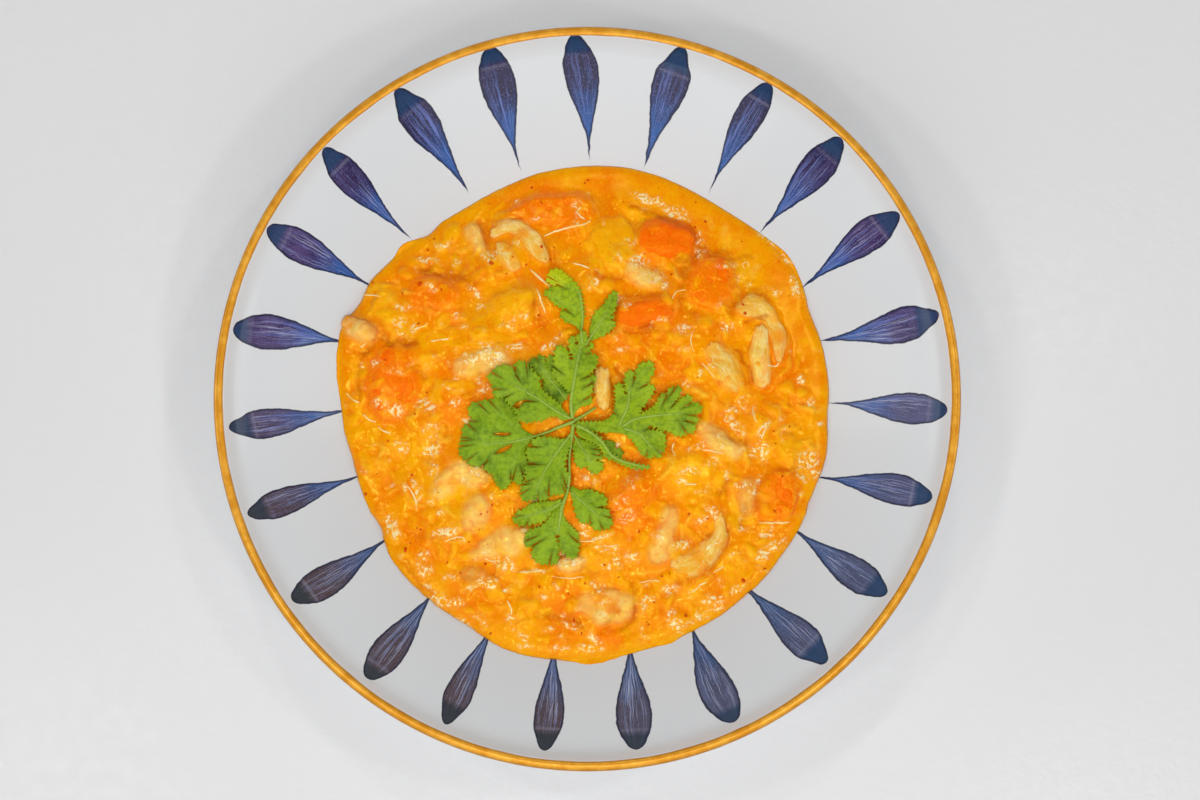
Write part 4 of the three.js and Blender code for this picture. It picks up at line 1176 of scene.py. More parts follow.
class Surface:
    """Heights in millimetres on the grid: of the pieces alone, of the sauce, and of both."""

    def __init__(self, relief, pieces):
        self.pieces = np.full(relief.x.shape, -1.0)
        self.kind = np.zeros(relief.x.shape, int)
        self.film = np.zeros(relief.x.shape)
        for piece in pieces:
            self.drop_rays_on(piece)
        self.covered = self.pieces > 0
        self.natural = sauce_height(relief.x, relief.y) + relief.finished()
        self.clear = self.clearness(relief)
        self.sauce = self.lapped(relief)
        self.top = np.maximum(self.sauce, self.pieces)

    def drop_rays_on(self, piece):
        """Raises the grid of pieces to this piece's upper side, and notes its kind there."""
        down = Vector((0, 0, -1))
        name = piece.name.removesuffix("_piece")
        kind = name.split("_")[0]
        film = FILM_OF_PIECE.get(name, FILM_OF_KIND[kind])
        corners = [vertex.co for vertex in piece.data.vertices]
        tree = BVHTree.FromPolygons(corners, [polygon.vertices for polygon in piece.data.polygons])
        places = places_of(piece.data)
        low = np.floor((places.min(0)[:2] + GRID_REACH) / GRID_STEP).astype(int)
        high = np.ceil((places.max(0)[:2] + GRID_REACH) / GRID_STEP).astype(int)
        for i in range(low[0], high[0] + 1):
            for j in range(low[1], high[1] + 1):
                start = Vector((GRID_LINE[i] * MM, GRID_LINE[j] * MM, RAY_START))
                hit = tree.ray_cast(start, down)[0]
                if hit and hit.z / MM > self.pieces[i, j]:
                    self.pieces[i, j] = hit.z / MM
                    self.kind[i, j] = KINDS.index(kind)
                    self.film[i, j] = film

    def lapped(self, relief):
        """The sauce: over its even level by the relief, and lapping thinly over parts of the pieces."""
        near = blurred(self.covered.astype(float), 0.9)
        natural = self.natural + 0.75 * near
        ragged = 1.1 * relief.noise(41, 3.4, 3)
        film = smoothstep(-0.25, 0.25, self.film + ragged - (self.pieces - natural))
        over = self.pieces + FILM_THICKNESS
        gap = natural - over
        skin = 0.5 * (natural + over + np.sqrt(gap**2 + 0.12))
        hidden = np.minimum(self.pieces - 0.35, natural + 0.1)
        return np.where(self.covered, film * skin + (1 - film) * hidden, natural)

    def clearness(self, relief):
        """How clearly a piece shows through the sauce over it: unevenly, and not where sauce lies thick."""
        uneven = relief.noise(91, 3.4, 3)
        return (0.5 + 0.5 * smoothstep(-0.3, 0.15, uneven)) * (1 - patch_share(STAINS, relief.x, relief.y))

    def tint(self, colour):
        """The sauce's colour where pieces show through it."""
        mids = np.array([0.7 * COLOURS_OF_KIND[kind][1] + 0.3 * COLOURS_OF_KIND[kind][2] for kind in KINDS])
        depth = smoothstep(-0.9, 0.4, self.pieces - self.natural)
        veiled = smoothstep(0.3, 0.9, self.film)
        shows = blurred(np.where(self.covered, depth * self.clear * (0.25 + 0.75 * veiled), 0.0), 0.5)
        kind_near = spread(self.kind + self.covered, 1.2) - 1
        kind = np.where(self.covered, self.kind, np.maximum(kind_near, 0)).astype(int)
        beside = np.where(self.covered, 1.0, spread(veiled * self.covered, 1.2))
        return blend(0.85 * shows * beside, colour, mids[kind])


SAUCE_CELLS = 300  # along each side of the square that is mapped onto the round of the sauce
UNDERSIDE_RINGS = (62.0, 52.0, 40.0, 12.0)  # radii, after a first ring that follows the edge


def disc_grid():
    """Angles and shares of the reach of a square grid bent into a disc, row by row."""
    line = np.linspace(-1, 1, SAUCE_CELLS + 1)
    a, b = np.meshgrid(line, line, indexing="ij")
    share = np.maximum(np.abs(a), np.abs(b))
    wide = np.abs(a) >= np.abs(b)
    with np.errstate(divide="ignore", invalid="ignore"):
        first = np.where(wide, b / a, a / b)
    first = np.nan_to_num(first) * math.pi / 4
    steep = math.pi / 2 - first + np.where(b < 0, math.pi, 0.0)
    angle = np.where(wide, first + np.where(a < 0, math.pi, 0.0), steep)
    return angle.ravel(), share.ravel()


# Where the edge stands out or back: heading and width in degrees, mm outwards.
EDGE_BUMPS = (
    (22, 5, -0.7), (36, 6, 1.1), (134, 3, -0.7), (140, 3, 1.8), (158, 4, -1.7), (172, 4, 0.7), (194, 5, -0.6),
    (212, 4, -1.1), (239, 12, -0.75), (271, 5, 1.6), (288, 4, 0.5), (338, 7, -0.7), (356, 5, -0.8),
)


def ragged_edge(angle):
    """The sauce's edge with its small irregularities, finest where the sauce is smooth."""
    ring = 60.0 * np.stack([np.cos(angle), np.sin(angle)], axis=1)
    smooth = np.clip(swell(angle, 55, 60, 1.0), 0, 1)
    fine = Noise(51).layers(ring, 3.0, 3)
    broad = Noise(52)(ring, 11.0)
    bumps = sum(swell(angle, *bump) for bump in EDGE_BUMPS)
    return sauce_edge(angle) + bumps + (1 - 0.75 * smooth) * (0.35 * fine + 0.55 * broad)


def make_sauce(relief, surface):
    """The sauce as one closed body: its surface in the plate, thin at the edge, and its underside."""
    angle, share = disc_grid()
    edge = ragged_edge(angle)
    x, y = share * edge * np.cos(angle), share * edge * np.sin(angle)
    glaze = wall_height(share * edge)
    inward = edge * (1 - share)
    z = sampled(surface.sauce, x, y)
    rim = 0.9 * (1 - np.exp(-inward / 0.8))
    z = np.where(inward < 4.0, np.minimum(z, glaze + 0.05 + rim + 0.9 * inward), z)
    z = np.maximum(z, glaze + 0.12 + 0.2 * smoothstep(0, 1.5, inward))
    z = np.where(share > 0.9999, glaze - 0.05, z)
    top = np.stack([x, y, z], axis=1)
    points, faces = closed_below(top, angle, edge)
    sauce = mesh_object("curry", points, faces)
    paint_sauce(sauce.data, relief, surface)
    sauce.data.materials.append(wet_material("curry_sauce", "sauce"))
    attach(sauce, "root")
    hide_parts("curry_sauce")


def closed_below(top, angle, edge):
    """The sauce's upper face, and rings that close it along the plate below."""
    side = SAUCE_CELLS + 1
    at = np.arange(side * side).reshape(side, side)
    quads = np.stack([at[:-1, :-1], at[1:, :-1], at[1:, 1:], at[:-1, 1:]], axis=-1).reshape(-1, 4)
    border = np.concatenate([at[:-1, 0], at[-1, :-1], at[:0:-1, -1], at[0, :0:-1]])
    points = [top]
    faces = quads.tolist()
    count = len(border)
    previous = border
    start = len(top)
    for reach in (edge[border] - 1.0, *(np.full(count, radius) for radius in UNDERSIDE_RINGS)):
        lie = wall_height(reach) + 0.1
        ring = np.stack([reach * np.cos(angle[border]), reach * np.sin(angle[border]), lie], 1)
        points.append(ring)
        here = np.arange(start, start + count)
        after = np.roll(here, -1)
        before = np.roll(previous, -1)
        faces += np.stack([before, previous, here, after], axis=1).tolist()
        previous = here
        start += count
    points.append(np.array([[0.0, 0.0, FLOOR_HEIGHT + 0.15]]))
    faces += [(int(b), int(a), start) for a, b in zip(previous, np.roll(previous, -1))]
    return np.vstack(points), faces


def paint_sauce(mesh, relief, surface):
    """Painted shade in the hollows in deep orange and in the creases in brown, painted light on the ridges in
    yellow, a painted pale sheen where it glitters, and thin and pale at the rim.
    """
    places = places_of(mesh)
    x, y = places[:, 0], places[:, 1]
    colour = surface.tint(relief.colour)
    height = surface.natural - sauce_height(relief.x, relief.y)
    # Painted shade and light: what lies below its surroundings turns deep orange, what stands above them
    # yellow.
    relief_shading = np.clip((height - blurred(height, 1.5)) / 0.45, -1, 1) * (1 - 0.5 * relief.calm)
    colour = blend(-relief_shading * 0.75, colour, SAUCE_DEEP)
    colour = blend(relief_shading * 0.3, colour, SAUCE_YELLOW)
    # Painted sheen: paler where the sauce glitters.
    colour = blend(0.16 * relief.glitter, colour, SAUCE_CREAM)
    # Painted shade in the creases.
    colour = blend(relief.crease, colour, CREASE_SHADE)
    rim = np.exp(-((inward_of(relief.x, relief.y) / 1.3) ** 2))
    colour = blend(0.4 * rim, colour, SAUCE_RIM)
    paint(mesh, sampled(colour, x, y))
    put_values(mesh, "rough_share", 1 - sampled(relief.calm, x, y))
    put_values(mesh, "glitter", sampled(relief.glitter, x, y))


# ------------------------------------------------------------------ materials of food


DEEP_OF_KIND = {"sauce": SAUCE_DEEP, **{kind: tones[0] for kind, tones in COLOURS_OF_KIND.items()}}
LIGHT_OF_KIND = {"sauce": SAUCE_YELLOW, **{kind: tones[2] for kind, tones in COLOURS_OF_KIND.items()}}
WARM_SHINE = (1.0, 0.9, 0.12, 1.0)  # the film's oily shine is warmer than white
FIBRES_PER_MM = {"chicken": 2.0, "onion": 1.6, "carrot": 1.4, "potato": 2.0}


def wet_material(name, kind):
    """Food under a thin glossy film: vertex colours, broken up finely, with a wrinkled, glittering skin whose
    glints are partly painted.
    """
    s = Shader(name)
    place = s.object_place()
    colour = s.attribute("tint").outputs["Color"]
    glitter = s.attribute("glitter").outputs["Fac"]
    medium = s.noise(place, 620.0, 3.0, 0.6)
    colour = s.mix(s.ramp(medium, 0.48, 0.26, 0.0, 0.45), colour, (*DEEP_OF_KIND[kind], 1.0))
    bare = 1.0 if kind == "sauce" else s.attribute("bare").outputs["Fac"]
    mottle = s.noise(place, 1250.0, 2.0, 0.6)
    lighter = s.times(s.ramp(mottle, 0.54, 0.7, 0.0, 0.5), bare)
    colour = s.mix(lighter, colour, (*LIGHT_OF_KIND[kind], 1.0))
    colour = s.mix(s.ramp(mottle, 0.46, 0.3, 0.0, 0.25), colour, (*DEEP_OF_KIND[kind], 1.0))

    # Thin winding wrinkles: the places where a noise passes through its middle value.
    wound = s.absolute(s.minus(s.noise(place, 640.0, 2.0, 0.5, 0.9), 0.5))
    wrinkle = s.ramp(wound, 0.12, 0.05)
    broken = s.ramp(s.noise(place, 900.0, 1.0), 0.46, 0.57)
    spots = s.ramp(glitter, 0.2, 0.7)
    shine = s.math("MULTIPLY", s.times(wrinkle, broken), spots, clamp=True)
    # Painted glints: where the wrinkles cross the glittering spots the colour turns near white.
    colour = s.mix(s.times(shine, 0.85), colour, (*GLINT_CREAM, 1.0))
    fine = s.noise(place, 1500.0, 2.0)
    sharp = s.times(fine, s.plus(s.times(glitter, 0.8), 0.1))

    if kind == "sauce":
        share = s.attribute("rough_share").outputs["Fac"]
        roughness = s.ramp(share, 0.1, 0.7, 0.26, 0.16)
        height = s.times(medium, s.ramp(share, 0.0, 1.0, 0.15, 0.8))
    else:
        grain = s.attribute("grain").outputs["Vector"]
        fibre = s.noise(grain, FIBRES_PER_MM[kind], 4.0, 0.65)
        roughness = s.ramp(s.attribute("steep").outputs["Fac"], 0.0, 0.8, 0.17, 0.65)
        height = s.plus(medium, s.times(fibre, 1.6))
        colour = s.mix(s.ramp(fibre, 0.5, 0.3, 0.0, 0.4), colour, (*DEEP_OF_KIND[kind], 1.0))
        if kind == "chicken":
            strands = s.times(s.ramp(fibre, 0.52, 0.66, 0.0, 0.7), bare)
            colour = s.mix(strands, colour, (*CHICKEN_PALE, 1.0))
            gaps = s.times(s.ramp(fibre, 0.4, 0.3, 0.0, 0.5), bare)
            colour = s.mix(gaps, colour, (*CHICKEN_BROWN, 1.0))
    height = s.plus(height, s.times(s.times(wrinkle, glitter), 0.5))
    s.set(
        Base_Color=colour,
        Roughness=roughness,
        Normal=s.bump(s.plus(height, sharp), 0.00014, 0.9),
        Specular_IOR_Level=0.5 if kind == "sauce" else 0.36,
        Specular_Tint=WARM_SHINE,
    )
    return s.material


def make_food():
    """All pieces of food and the sauce around and over them."""
    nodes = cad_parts
    names = [name for name in nodes if name.split("_")[0] in RELIEF_OF_KIND]
    pieces = [dress_piece(name, nodes[name]) for name in names]
    for kind in RELIEF_OF_KIND:
        material = wet_material("wet_" + kind, kind)
        for piece in pieces:
            if piece.name.startswith(kind):
                piece.data.materials.append(material)
    relief = Relief()
    scatter_bits(relief)
    surface = Surface(relief, pieces)
    make_sauce(relief, surface)
    return relief, surface


# ------------------------------------------------------------------ coriander

# Outlines traced in millimetres, seen from above. "base" is where the leaf leaves its stalk, "lift"
# how far its blade rises away from there, "yellow" how far its green turns to yellow, "slits" are open gaps
# and "cuts" narrow ones running in from the edge.
LEAVES = {
    "left": dict(
        base=(-17.5, -10.0),
        lift=0.2,
        yellow=0.1,
        outline=[
            (-15.5, -9.2), (-17.5, -8.3), (-19.3, -7), (-20, -5.6), (-20.3, -4.8), (-20.8, -2.2),
            (-22.8, -1.6), (-23, 0), (-23.5, 1.1), (-24.6, 1.8), (-26, 2), (-27.3, 1.3), (-28.2, 0.4),
            (-30.2, 0.9), (-31.3, -0.3), (-32.3, 0.3), (-34, -0.6), (-34.6, -2.2), (-33.6, -3.8),
            (-33.4, -5), (-34.6, -6.2), (-36, -6.8), (-36.3, -8.4), (-36, -9.8), (-36.9, -10.8),
            (-36.7, -12.4), (-37.2, -13.8), (-36.2, -15.4), (-35, -16.6), (-34, -17.6), (-32, -18),
            (-30.2, -18.2), (-29.2, -19.4), (-27.6, -20), (-26.8, -22), (-25.6, -24), (-24.2, -24.8),
            (-23.2, -23.8), (-22.4, -22.6), (-21.6, -21.6), (-20.6, -22.8), (-19.8, -23.6), (-19, -22.4),
            (-18.9, -21.4), (-17.9, -20.2), (-17.8, -18.4), (-17.6, -16.4), (-18.1, -15), (-18, -13),
            (-17, -11.5), (-15.5, -10.3),
        ],
        slits=[
            [(-27.6, -8.8), (-25.6, -8.4), (-22.2, -8.6), (-22.4, -9.2), (-24.6, -9.5), (-26.4, -9.3)],
            [(-27.2, -14.8), (-25.4, -13.2), (-22.6, -12), (-21.6, -11.7), (-22.4, -13), (-24.6, -14.4)],
        ],
        cuts=[
            ((-31.5, 0), (-30.3, -1.6)), ((-24.7, 1.9), (-24.6, 0.3)), ((-34, -5.1), (-31, -5.3)),
            ((-36.6, -10.8), (-33.4, -10.8)), ((-31, -18.4), (-27.6, -16)), ((-22.3, -22), (-22.2, -18.8)),
            ((-18.6, -20.8), (-19.6, -17.8)),
        ],
    ),
    "behind": dict(
        base=(-5.0, -2.0),
        lift=0.2,
        yellow=0.3,
        shade=0.35,
        outline=[
            (-8, -0.6), (-10.2, 1.2), (-12.3, 2.8), (-12.9, 4.8), (-12, 6.2), (-12.8, 7.2), (-14.6, 7.6),
            (-16.2, 8.6), (-17, 10.5), (-16.8, 12.3), (-15, 13.3), (-13.2, 13.8), (-12.3, 12),
            (-11.6, 13.2), (-10.3, 13.9), (-9.4, 12.6), (-8.6, 11.6), (-8, 6.2), (-5, 3.4),
        ],
    ),
    "upper_left": dict(
        base=(-5.0, -4.2),
        lift=1.5,
        yellow=0.15,
        outline=[
            (-5.2, -3.6), (-7.6, -1.2), (-10.2, 1), (-12.6, 3), (-14, 4.6), (-14.2, 6.2), (-14.6, 8),
            (-16.2, 9), (-16.8, 11.4), (-17.8, 11.2), (-19, 12), (-20.4, 11.8), (-21.4, 10.2),
            (-22.6, 10.2), (-23.6, 10.9), (-25, 10.4), (-26.6, 10), (-27.4, 8.6), (-28.5, 8.4), (-28.8, 7),
            (-27.8, 6.6), (-27.6, 5.4), (-27.2, 4), (-27, 2.4), (-26.6, 2), (-24, 1.6), (-23, 0.6),
            (-22.4, -0.4), (-21, -2), (-20.2, -3), (-20.4, -4.8), (-19.4, -5), (-18.4, -5.2), (-17, -5.6),
            (-15.6, -4.9), (-14, -5), (-13, -5.2), (-12.6, -4.4), (-10.5, -3.6), (-9, -3.9), (-7.6, -5),
            (-6, -4.9),
        ],
        slits=[
            [(-21.9, -1), (-20.6, 0.4), (-18, 1), (-14.2, 0.3), (-18.4, 0.3), (-19.4, -0.8), (-20, -1.8)],
        ],
        cuts=[((-21, 10.6), (-20.2, 8.6)), ((-20.8, 8), (-18.6, 5)), ((-16.8, 11.8), (-16.8, 8.6))],
    ),
    "top": dict(
        base=(-4.9, -2.0),
        lift=1.5,
        yellow=0.5,
        outline=[
            (-5.2, 3.4), (-6.6, 4.8), (-8, 6.2), (-10.2, 8.2), (-9.7, 10.4), (-9.4, 13.6), (-9.2, 15.4),
            (-8.2, 16.6), (-7.2, 16), (-6.2, 15.4), (-5.2, 14.6), (-4.7, 12.5), (-5, 14.5), (-5.2, 17),
            (-5, 18.8), (-4.2, 19.4), (-3.4, 18.4), (-3.2, 16.9), (-3, 19), (-2.4, 20), (-1.3, 21),
            (-0.6, 20), (-0.1, 18), (0, 16.8), (1.8, 17.3), (0.6, 15.8), (0.2, 14.4), (1.4, 13.8),
            (2.6, 14), (2.6, 12.6), (2.4, 11), (1.6, 9.8), (0.6, 8.8), (0, 7.6), (0.8, 7.4), (2.2, 7.7),
            (2.3, 6.6), (1.2, 5.6), (1.2, 4), (0.8, 2.6), (0.2, 1.6), (1.2, 0.8), (1, 0), (0, -0.4),
            (-1.6, -0.8), (-3.2, -2), (-4.2, -3.8), (-5, -2.6),
        ],
    ),
    "top_left_blade": dict(
        base=(-2.0, 20.5),
        lift=0.3,
        yellow=0.9,
        bright=(-9.0, 38.6, 5.0),
        outline=[
            (-3.2, 22), (-3.4, 22.6), (-5.5, 23.6), (-7, 24.6), (-8, 26.2), (-7.4, 27), (-6.3, 27.4),
            (-7.8, 28.2), (-8.8, 29), (-10, 29.6), (-10.6, 30.6), (-11.6, 31.4), (-12.7, 32.6),
            (-11.6, 33.2), (-10.4, 33.9), (-9.4, 34.4), (-8.8, 34.8), (-10, 34.8), (-11.2, 35.6),
            (-12.2, 36.3), (-11.2, 37), (-11.3, 38.4), (-10, 39.4), (-8.6, 39.4), (-7.2, 38.4), (-5.8, 37),
            (-4.4, 35.8), (-3.2, 34.4), (-2.2, 32.4), (-1.8, 30), (-1.4, 27.6), (-1.3, 25), (-1.4, 23),
            (-1.8, 21),
        ],
    ),
    "top_right_blade": dict(
        base=(0.0, 19.0),
        lift=0.3,
        yellow=0.6,
        outline=[
            (0.4, 21.4), (1.2, 23.6), (2, 25.8), (3.2, 27.2), (4.4, 28), (5, 29.2), (6, 30.6), (7, 32),
            (8, 33), (8.4, 31.6), (8.2, 29.6), (7.8, 28), (7.4, 26.6), (6.4, 25.8), (7.8, 25.2),
            (6.4, 24.4), (7.4, 23.8), (8, 23), (6.6, 21.6), (5.4, 20.6), (4, 19.6), (2.4, 18.8),
            (0.8, 18.2),
        ],
    ),
    "right": dict(
        base=(9.0, -6.6),
        lift=0.8,
        yellow=0.45,
        outline=[
            (-3.3, -5.6), (4, -5.5), (6.2, -4.4), (7.6, -2.6), (8.2, -0.6), (8.3, 1.6), (8, 4), (8.6, 5.6),
            (9.4, 5.8), (10, 4.6), (10.8, 3.4), (11.2, 2.5), (11.2, 4), (11, 6), (10.9, 7.4), (11.6, 9),
            (12.8, 9.4), (13.2, 8), (13.5, 6.9), (14, 8.4), (14.6, 10.2), (15.4, 11.4), (17, 11.6),
            (18.6, 12), (18.8, 10.6), (19.2, 9.4), (18.2, 7.8), (17.2, 6.2), (16.6, 5.2), (18.4, 5.2),
            (19.3, 4.9), (18.9, 3.6), (18.4, 2.4), (17.4, 1.2), (16.8, 0.2), (15.6, -1.2), (14.6, -2.8),
            (14.8, -3.3), (15.6, -3.2), (17.6, -2.2), (19.6, -0.8), (20.4, 0.4), (21, 1.8), (22.2, 2.8),
            (22.8, 1.8), (23.4, 3.2), (24, 4.4), (25.4, 4.4), (26.8, 4.8), (26.6, 3), (26, 1.6),
            (25.2, 0.2), (25, -0.3), (26.4, 0.6), (28, 1.8), (29.8, 2.2), (29.9, 1), (29.4, -0.2),
            (31, 0.2), (32.4, -0.6), (33, -1.8), (32, -2.8), (30.6, -3.6), (31.6, -4.2), (32, -5.2),
            (30.4, -5.8), (31, -7), (30.8, -8), (29.6, -8.6), (28.4, -8.4), (27.6, -9.3), (26.2, -9.3),
            (25, -9), (24.2, -8.2), (22.8, -7.6), (21.4, -7.5), (17.8, -7.1), (20.4, -7.8), (21.8, -8.6),
            (22.4, -10), (22.2, -11.6), (22.2, -13), (21.4, -14.4), (20.6, -15.8), (19.8, -15.2),
            (19.4, -14.6), (18.6, -15.6), (17.8, -16), (17, -15), (16, -15.2), (15.4, -14), (14.6, -12.8),
            (13.8, -11.4), (12.8, -10.4), (11.4, -9.4), (10, -8.8), (6, -8.4), (2, -7.8), (-0.4, -7.3),
            (-3.3, -7.2),
        ],
        cuts=[((29.4, -5.6), (26.8, -5.0))],
    ),
    "folded": dict(
        base=(-3.2, -6.6),
        lift=1.0,
        yellow=0.4,
        outline=[
            (-3.2, -6), (-1.6, -7), (0.6, -8), (3, -9.6), (4.2, -10.8), (5, -12.6), (6, -14.2), (8, -15.4),
            (11, -17), (14, -17.8), (18, -18.6), (15, -18.9), (12, -18.4), (9.4, -17.2), (7.4, -16.2),
            (5.6, -15.9), (4.6, -14.4), (3.6, -12.4), (1.6, -11.2), (-0.6, -10.4), (-2.4, -9.6),
            (-3.4, -8.2),
        ],
    ),
    "tucked": dict(
        base=(4.0, -11.4),
        lift=0.1,
        yellow=0.2,
        shade=0.5,
        outline=[
            (4.2, -10.8), (5.6, -10.6), (7.2, -11), (8.2, -12), (7, -12.4), (8.4, -13.2), (9.8, -13.6),
            (10, -15), (8.8, -15.6), (7.4, -15.2), (6, -14.4), (5, -12.8),
        ],
    ),
    "lower_left": dict(
        base=(-4.0, -8.6),
        lift=1.2,
        yellow=0.15,
        outline=[
            (-5.6, -9.4), (-6.4, -10.2), (-8, -10.6), (-10, -10.3), (-11.6, -10.2), (-13.4, -10),
            (-15, -10.4), (-16.2, -11.2), (-16.6, -12.6), (-17.6, -13.4), (-17.4, -15), (-17, -16.2),
            (-16.6, -17.4), (-17.6, -17.8), (-17.8, -19.4), (-17.4, -20.6), (-17.8, -22), (-18.4, -23.6),
            (-19.2, -24.8), (-18.8, -26), (-19, -27.4), (-18.2, -28.2), (-17, -28), (-16, -27.6),
            (-14.4, -27.6), (-12.8, -28), (-12, -27.8), (-11.2, -26.4), (-9.8, -26.4), (-8.6, -26),
            (-7.6, -26.4), (-6.8, -25.4), (-6.2, -24), (-5.4, -23), (-5.4, -21), (-6.2, -20), (-6.9, -18.4),
            (-6.6, -16.8), (-6.2, -15), (-5.6, -13), (-4.8, -11.4),
        ],
        cuts=[
            ((-17.9, -17.7), (-12, -17.8)), ((-18.2, -22.9), (-14.7, -21.7)),
            ((-11.3, -26.9), (-11, -21.5)), ((-6.6, -25.2), (-7.6, -23)), ((-17, -11.8), (-14.3, -13.2)),
        ],
    ),
    "lower_middle": dict(
        base=(-4.0, -9.0),
        lift=0.2,
        yellow=0.3,
        outline=[
            (-3.4, -9.6), (-1, -10.6), (1.4, -11.4), (2.8, -12.4), (2.6, -13.4), (3.6, -14), (3, -15),
            (4.4, -15.6), (2.4, -16.4), (3.8, -17), (4.4, -18), (3.6, -19.6), (2, -20.2), (0.8, -19.6),
            (0.2, -18.4), (-0.6, -17.8), (-1.2, -18.6), (-2.4, -18.4), (-3.2, -17.6), (-3.6, -16),
            (-3.8, -14), (-4.4, -12.4),
        ],
    ),
    "bottom_left": dict(
        base=(-7.0, -28.0),
        lift=0.2,
        yellow=0.5,
        outline=[
            (-7.6, -27.4), (-9, -28), (-11, -28.4), (-13, -28.6), (-15, -29), (-17, -29.6), (-17.4, -30.6),
            (-19, -31), (-20.4, -31.6), (-20.8, -32.6), (-21.6, -33.8), (-20.2, -34.6), (-19, -35.2),
            (-17.6, -35), (-16, -34.6), (-14.4, -34.4), (-13, -34), (-11.6, -33), (-10.4, -31.6),
            (-8.8, -30.4), (-7.4, -29.6),
        ],
    ),
    "bottom": dict(
        base=(-7.0, -29.0),
        lift=0.3,
        yellow=0.2,
        outline=[
            (-7.6, -29.5), (-9.6, -31), (-10.4, -32.6), (-12, -34.6), (-13.4, -35.8), (-15.6, -36.4),
            (-17, -37), (-17.8, -38.4), (-17.4, -39.6), (-18, -40.8), (-16.8, -41.4), (-15.4, -41),
            (-15.6, -42.4), (-16, -43.8), (-15.2, -45), (-14, -46), (-12.4, -46.3), (-11, -46),
            (-9.8, -46.4), (-8.6, -45.4), (-8.8, -43.6), (-8.6, -42.2), (-8.9, -37.8), (-7.6, -42.4),
            (-6.4, -43.4), (-5.2, -44.4), (-3.8, -44.6), (-3, -43.4), (-2.9, -41.6), (-2.4, -40.2),
            (-3.4, -39.6), (-2.6, -38.4), (-3.6, -37), (-5, -35.6), (-6.4, -34.2), (-7, -32.6), (-7, -30.8),
            (-6.6, -28.6),
        ],
        cuts=[((-16, -41.2), (-12.2, -39)), ((-2.6, -40.2), (-4.6, -38.8))],
    ),
    "bottom_right": dict(
        base=(-5.0, -25.0),
        lift=0.2,
        yellow=0.25,
        outline=[
            (-5.2, -24.2), (-4.2, -24), (-3, -24.8), (-1.6, -25.2), (0.4, -25), (1.8, -25.8), (3.4, -26.2),
            (4.8, -27), (5.4, -28.4), (5, -29.6), (3.8, -30), (5.2, -30.6), (6.2, -31.8), (6.2, -33),
            (7, -34), (6.6, -35.4), (5.4, -36.2), (4.2, -36), (2.8, -36.6), (1.6, -35.8), (0.8, -34.4),
            (-0.4, -34), (-1.6, -34.6), (-2.4, -33.6), (-3.2, -32), (-3.6, -30.4), (-4.2, -28.6),
            (-4.8, -26.8),
        ],
    ),
}
# Stalks and midribs: x, y and radius in mm, each with the leaves whose veins they feed.
STALKS = (
    (("left",), [(-3.8, -5.2, 0.75), (-8, -6.8, 0.6), (-12, -8.5, 0.55), (-15, -9.5, 0.5),
     (-19, -10.6, 0.4), (-24, -11.4, 0.3), (-30, -12, 0.2)]),
    ((), [(-3.9, -5, 0.8), (-1.5, -3.6, 0.55), (2.4, -1.2, 0.4)]),
    (("bottom",), [(-4.2, -6, 0.8), (-4.8, -11, 0.6), (-5.3, -16, 0.5), (-5.3, -22, 0.5), (-6, -26, 0.55),
     (-7.4, -30, 0.7), (-8, -34, 0.5), (-8.8, -38, 0.25)]),
    (("top",), [(-4.4, -4.4, 0.8), (-4.9, 0, 0.6), (-4, 6, 0.5), (-3, 12, 0.4), (-2, 17, 0.3)]),
    (("behind",), [(-6, 1, 0.3), (-10, 6, 0.25), (-14, 11, 0.15)]),
    (("top_left_blade",), [(-1.6, 17.4, 0.5), (-1.9, 21, 0.5), (-1.5, 25, 0.45), (-1.9, 29.5, 0.35),
     (-2.6, 33, 0.25)]),
    (("top_right_blade",), [(-0.6, 17, 0.45), (0.8, 19.4, 0.45), (3, 22.5, 0.3), (5.4, 26.5, 0.2)]),
    (("right",), [(9, -6.6, 0.6), (11.5, -1, 0.4), (12.2, 4, 0.25)]),
    (("right",), [(10, -6.8, 0.6), (14, -4.6, 0.4), (20, -3.6, 0.35), (27, -3, 0.2)]),
    (("right",), [(10.5, -7.3, 0.4), (15, -9, 0.35), (18.6, -13, 0.2)]),
    (("folded",), [(-3.2, -6.4, 0.7), (0.4, -8.2, 0.6), (4.2, -11.4, 0.5), (7, -15.2, 0.5),
     (11.6, -17.3, 0.4), (18, -18.6, 0.25)]),
    (("upper_left",), [(-5, -4.4, 0.6), (-9, -2.4, 0.45), (-14.6, 1.4, 0.35), (-21, 5, 0.25)]),
    (("lower_left",), [(-4.6, -8.6, 0.5), (-8, -13, 0.4), (-12, -19, 0.3), (-14.6, -25, 0.2)]),
    (("lower_middle",), [(-4, -9.2, 0.4), (-1.6, -13, 0.3), (0.8, -17, 0.2)]),
    (("bottom_left",), [(-7.4, -28.6, 0.4), (-12, -31, 0.3), (-18.6, -33, 0.2)]),
    (("bottom_right",), [(-5, -25.6, 0.4), (-1, -29, 0.3), (3.6, -33, 0.2)]),
)
LEAF_THICKNESS = 0.3
LEAF_GAP = 0.55  # between a leaf's underside and what it lies on
LEAF_SPACING = 0.5
TOOTH_LENGTH = 1.3
TOOTH_DEPTH = 0.85
CUT_WIDTH = 0.5
NOTCH_SHARE = 0.52  # how far a gap between two lobes runs on towards the midrib
NOTCH_LIMIT = 4.0  # mm
STALK_SIDES = 8
STALK_SLIMNESS = 0.78
LEAF_GREEN = tone(128, 165, 24)
LEAF_DARK = tone(76, 108, 4)
LEAF_YELLOW = tone(158, 184, 10)
LEAF_BRIGHT = tone(196, 204, 0)
LEAF_VEIN = tone(148, 182, 62)
STALK_GREEN = tone(160, 186, 78)


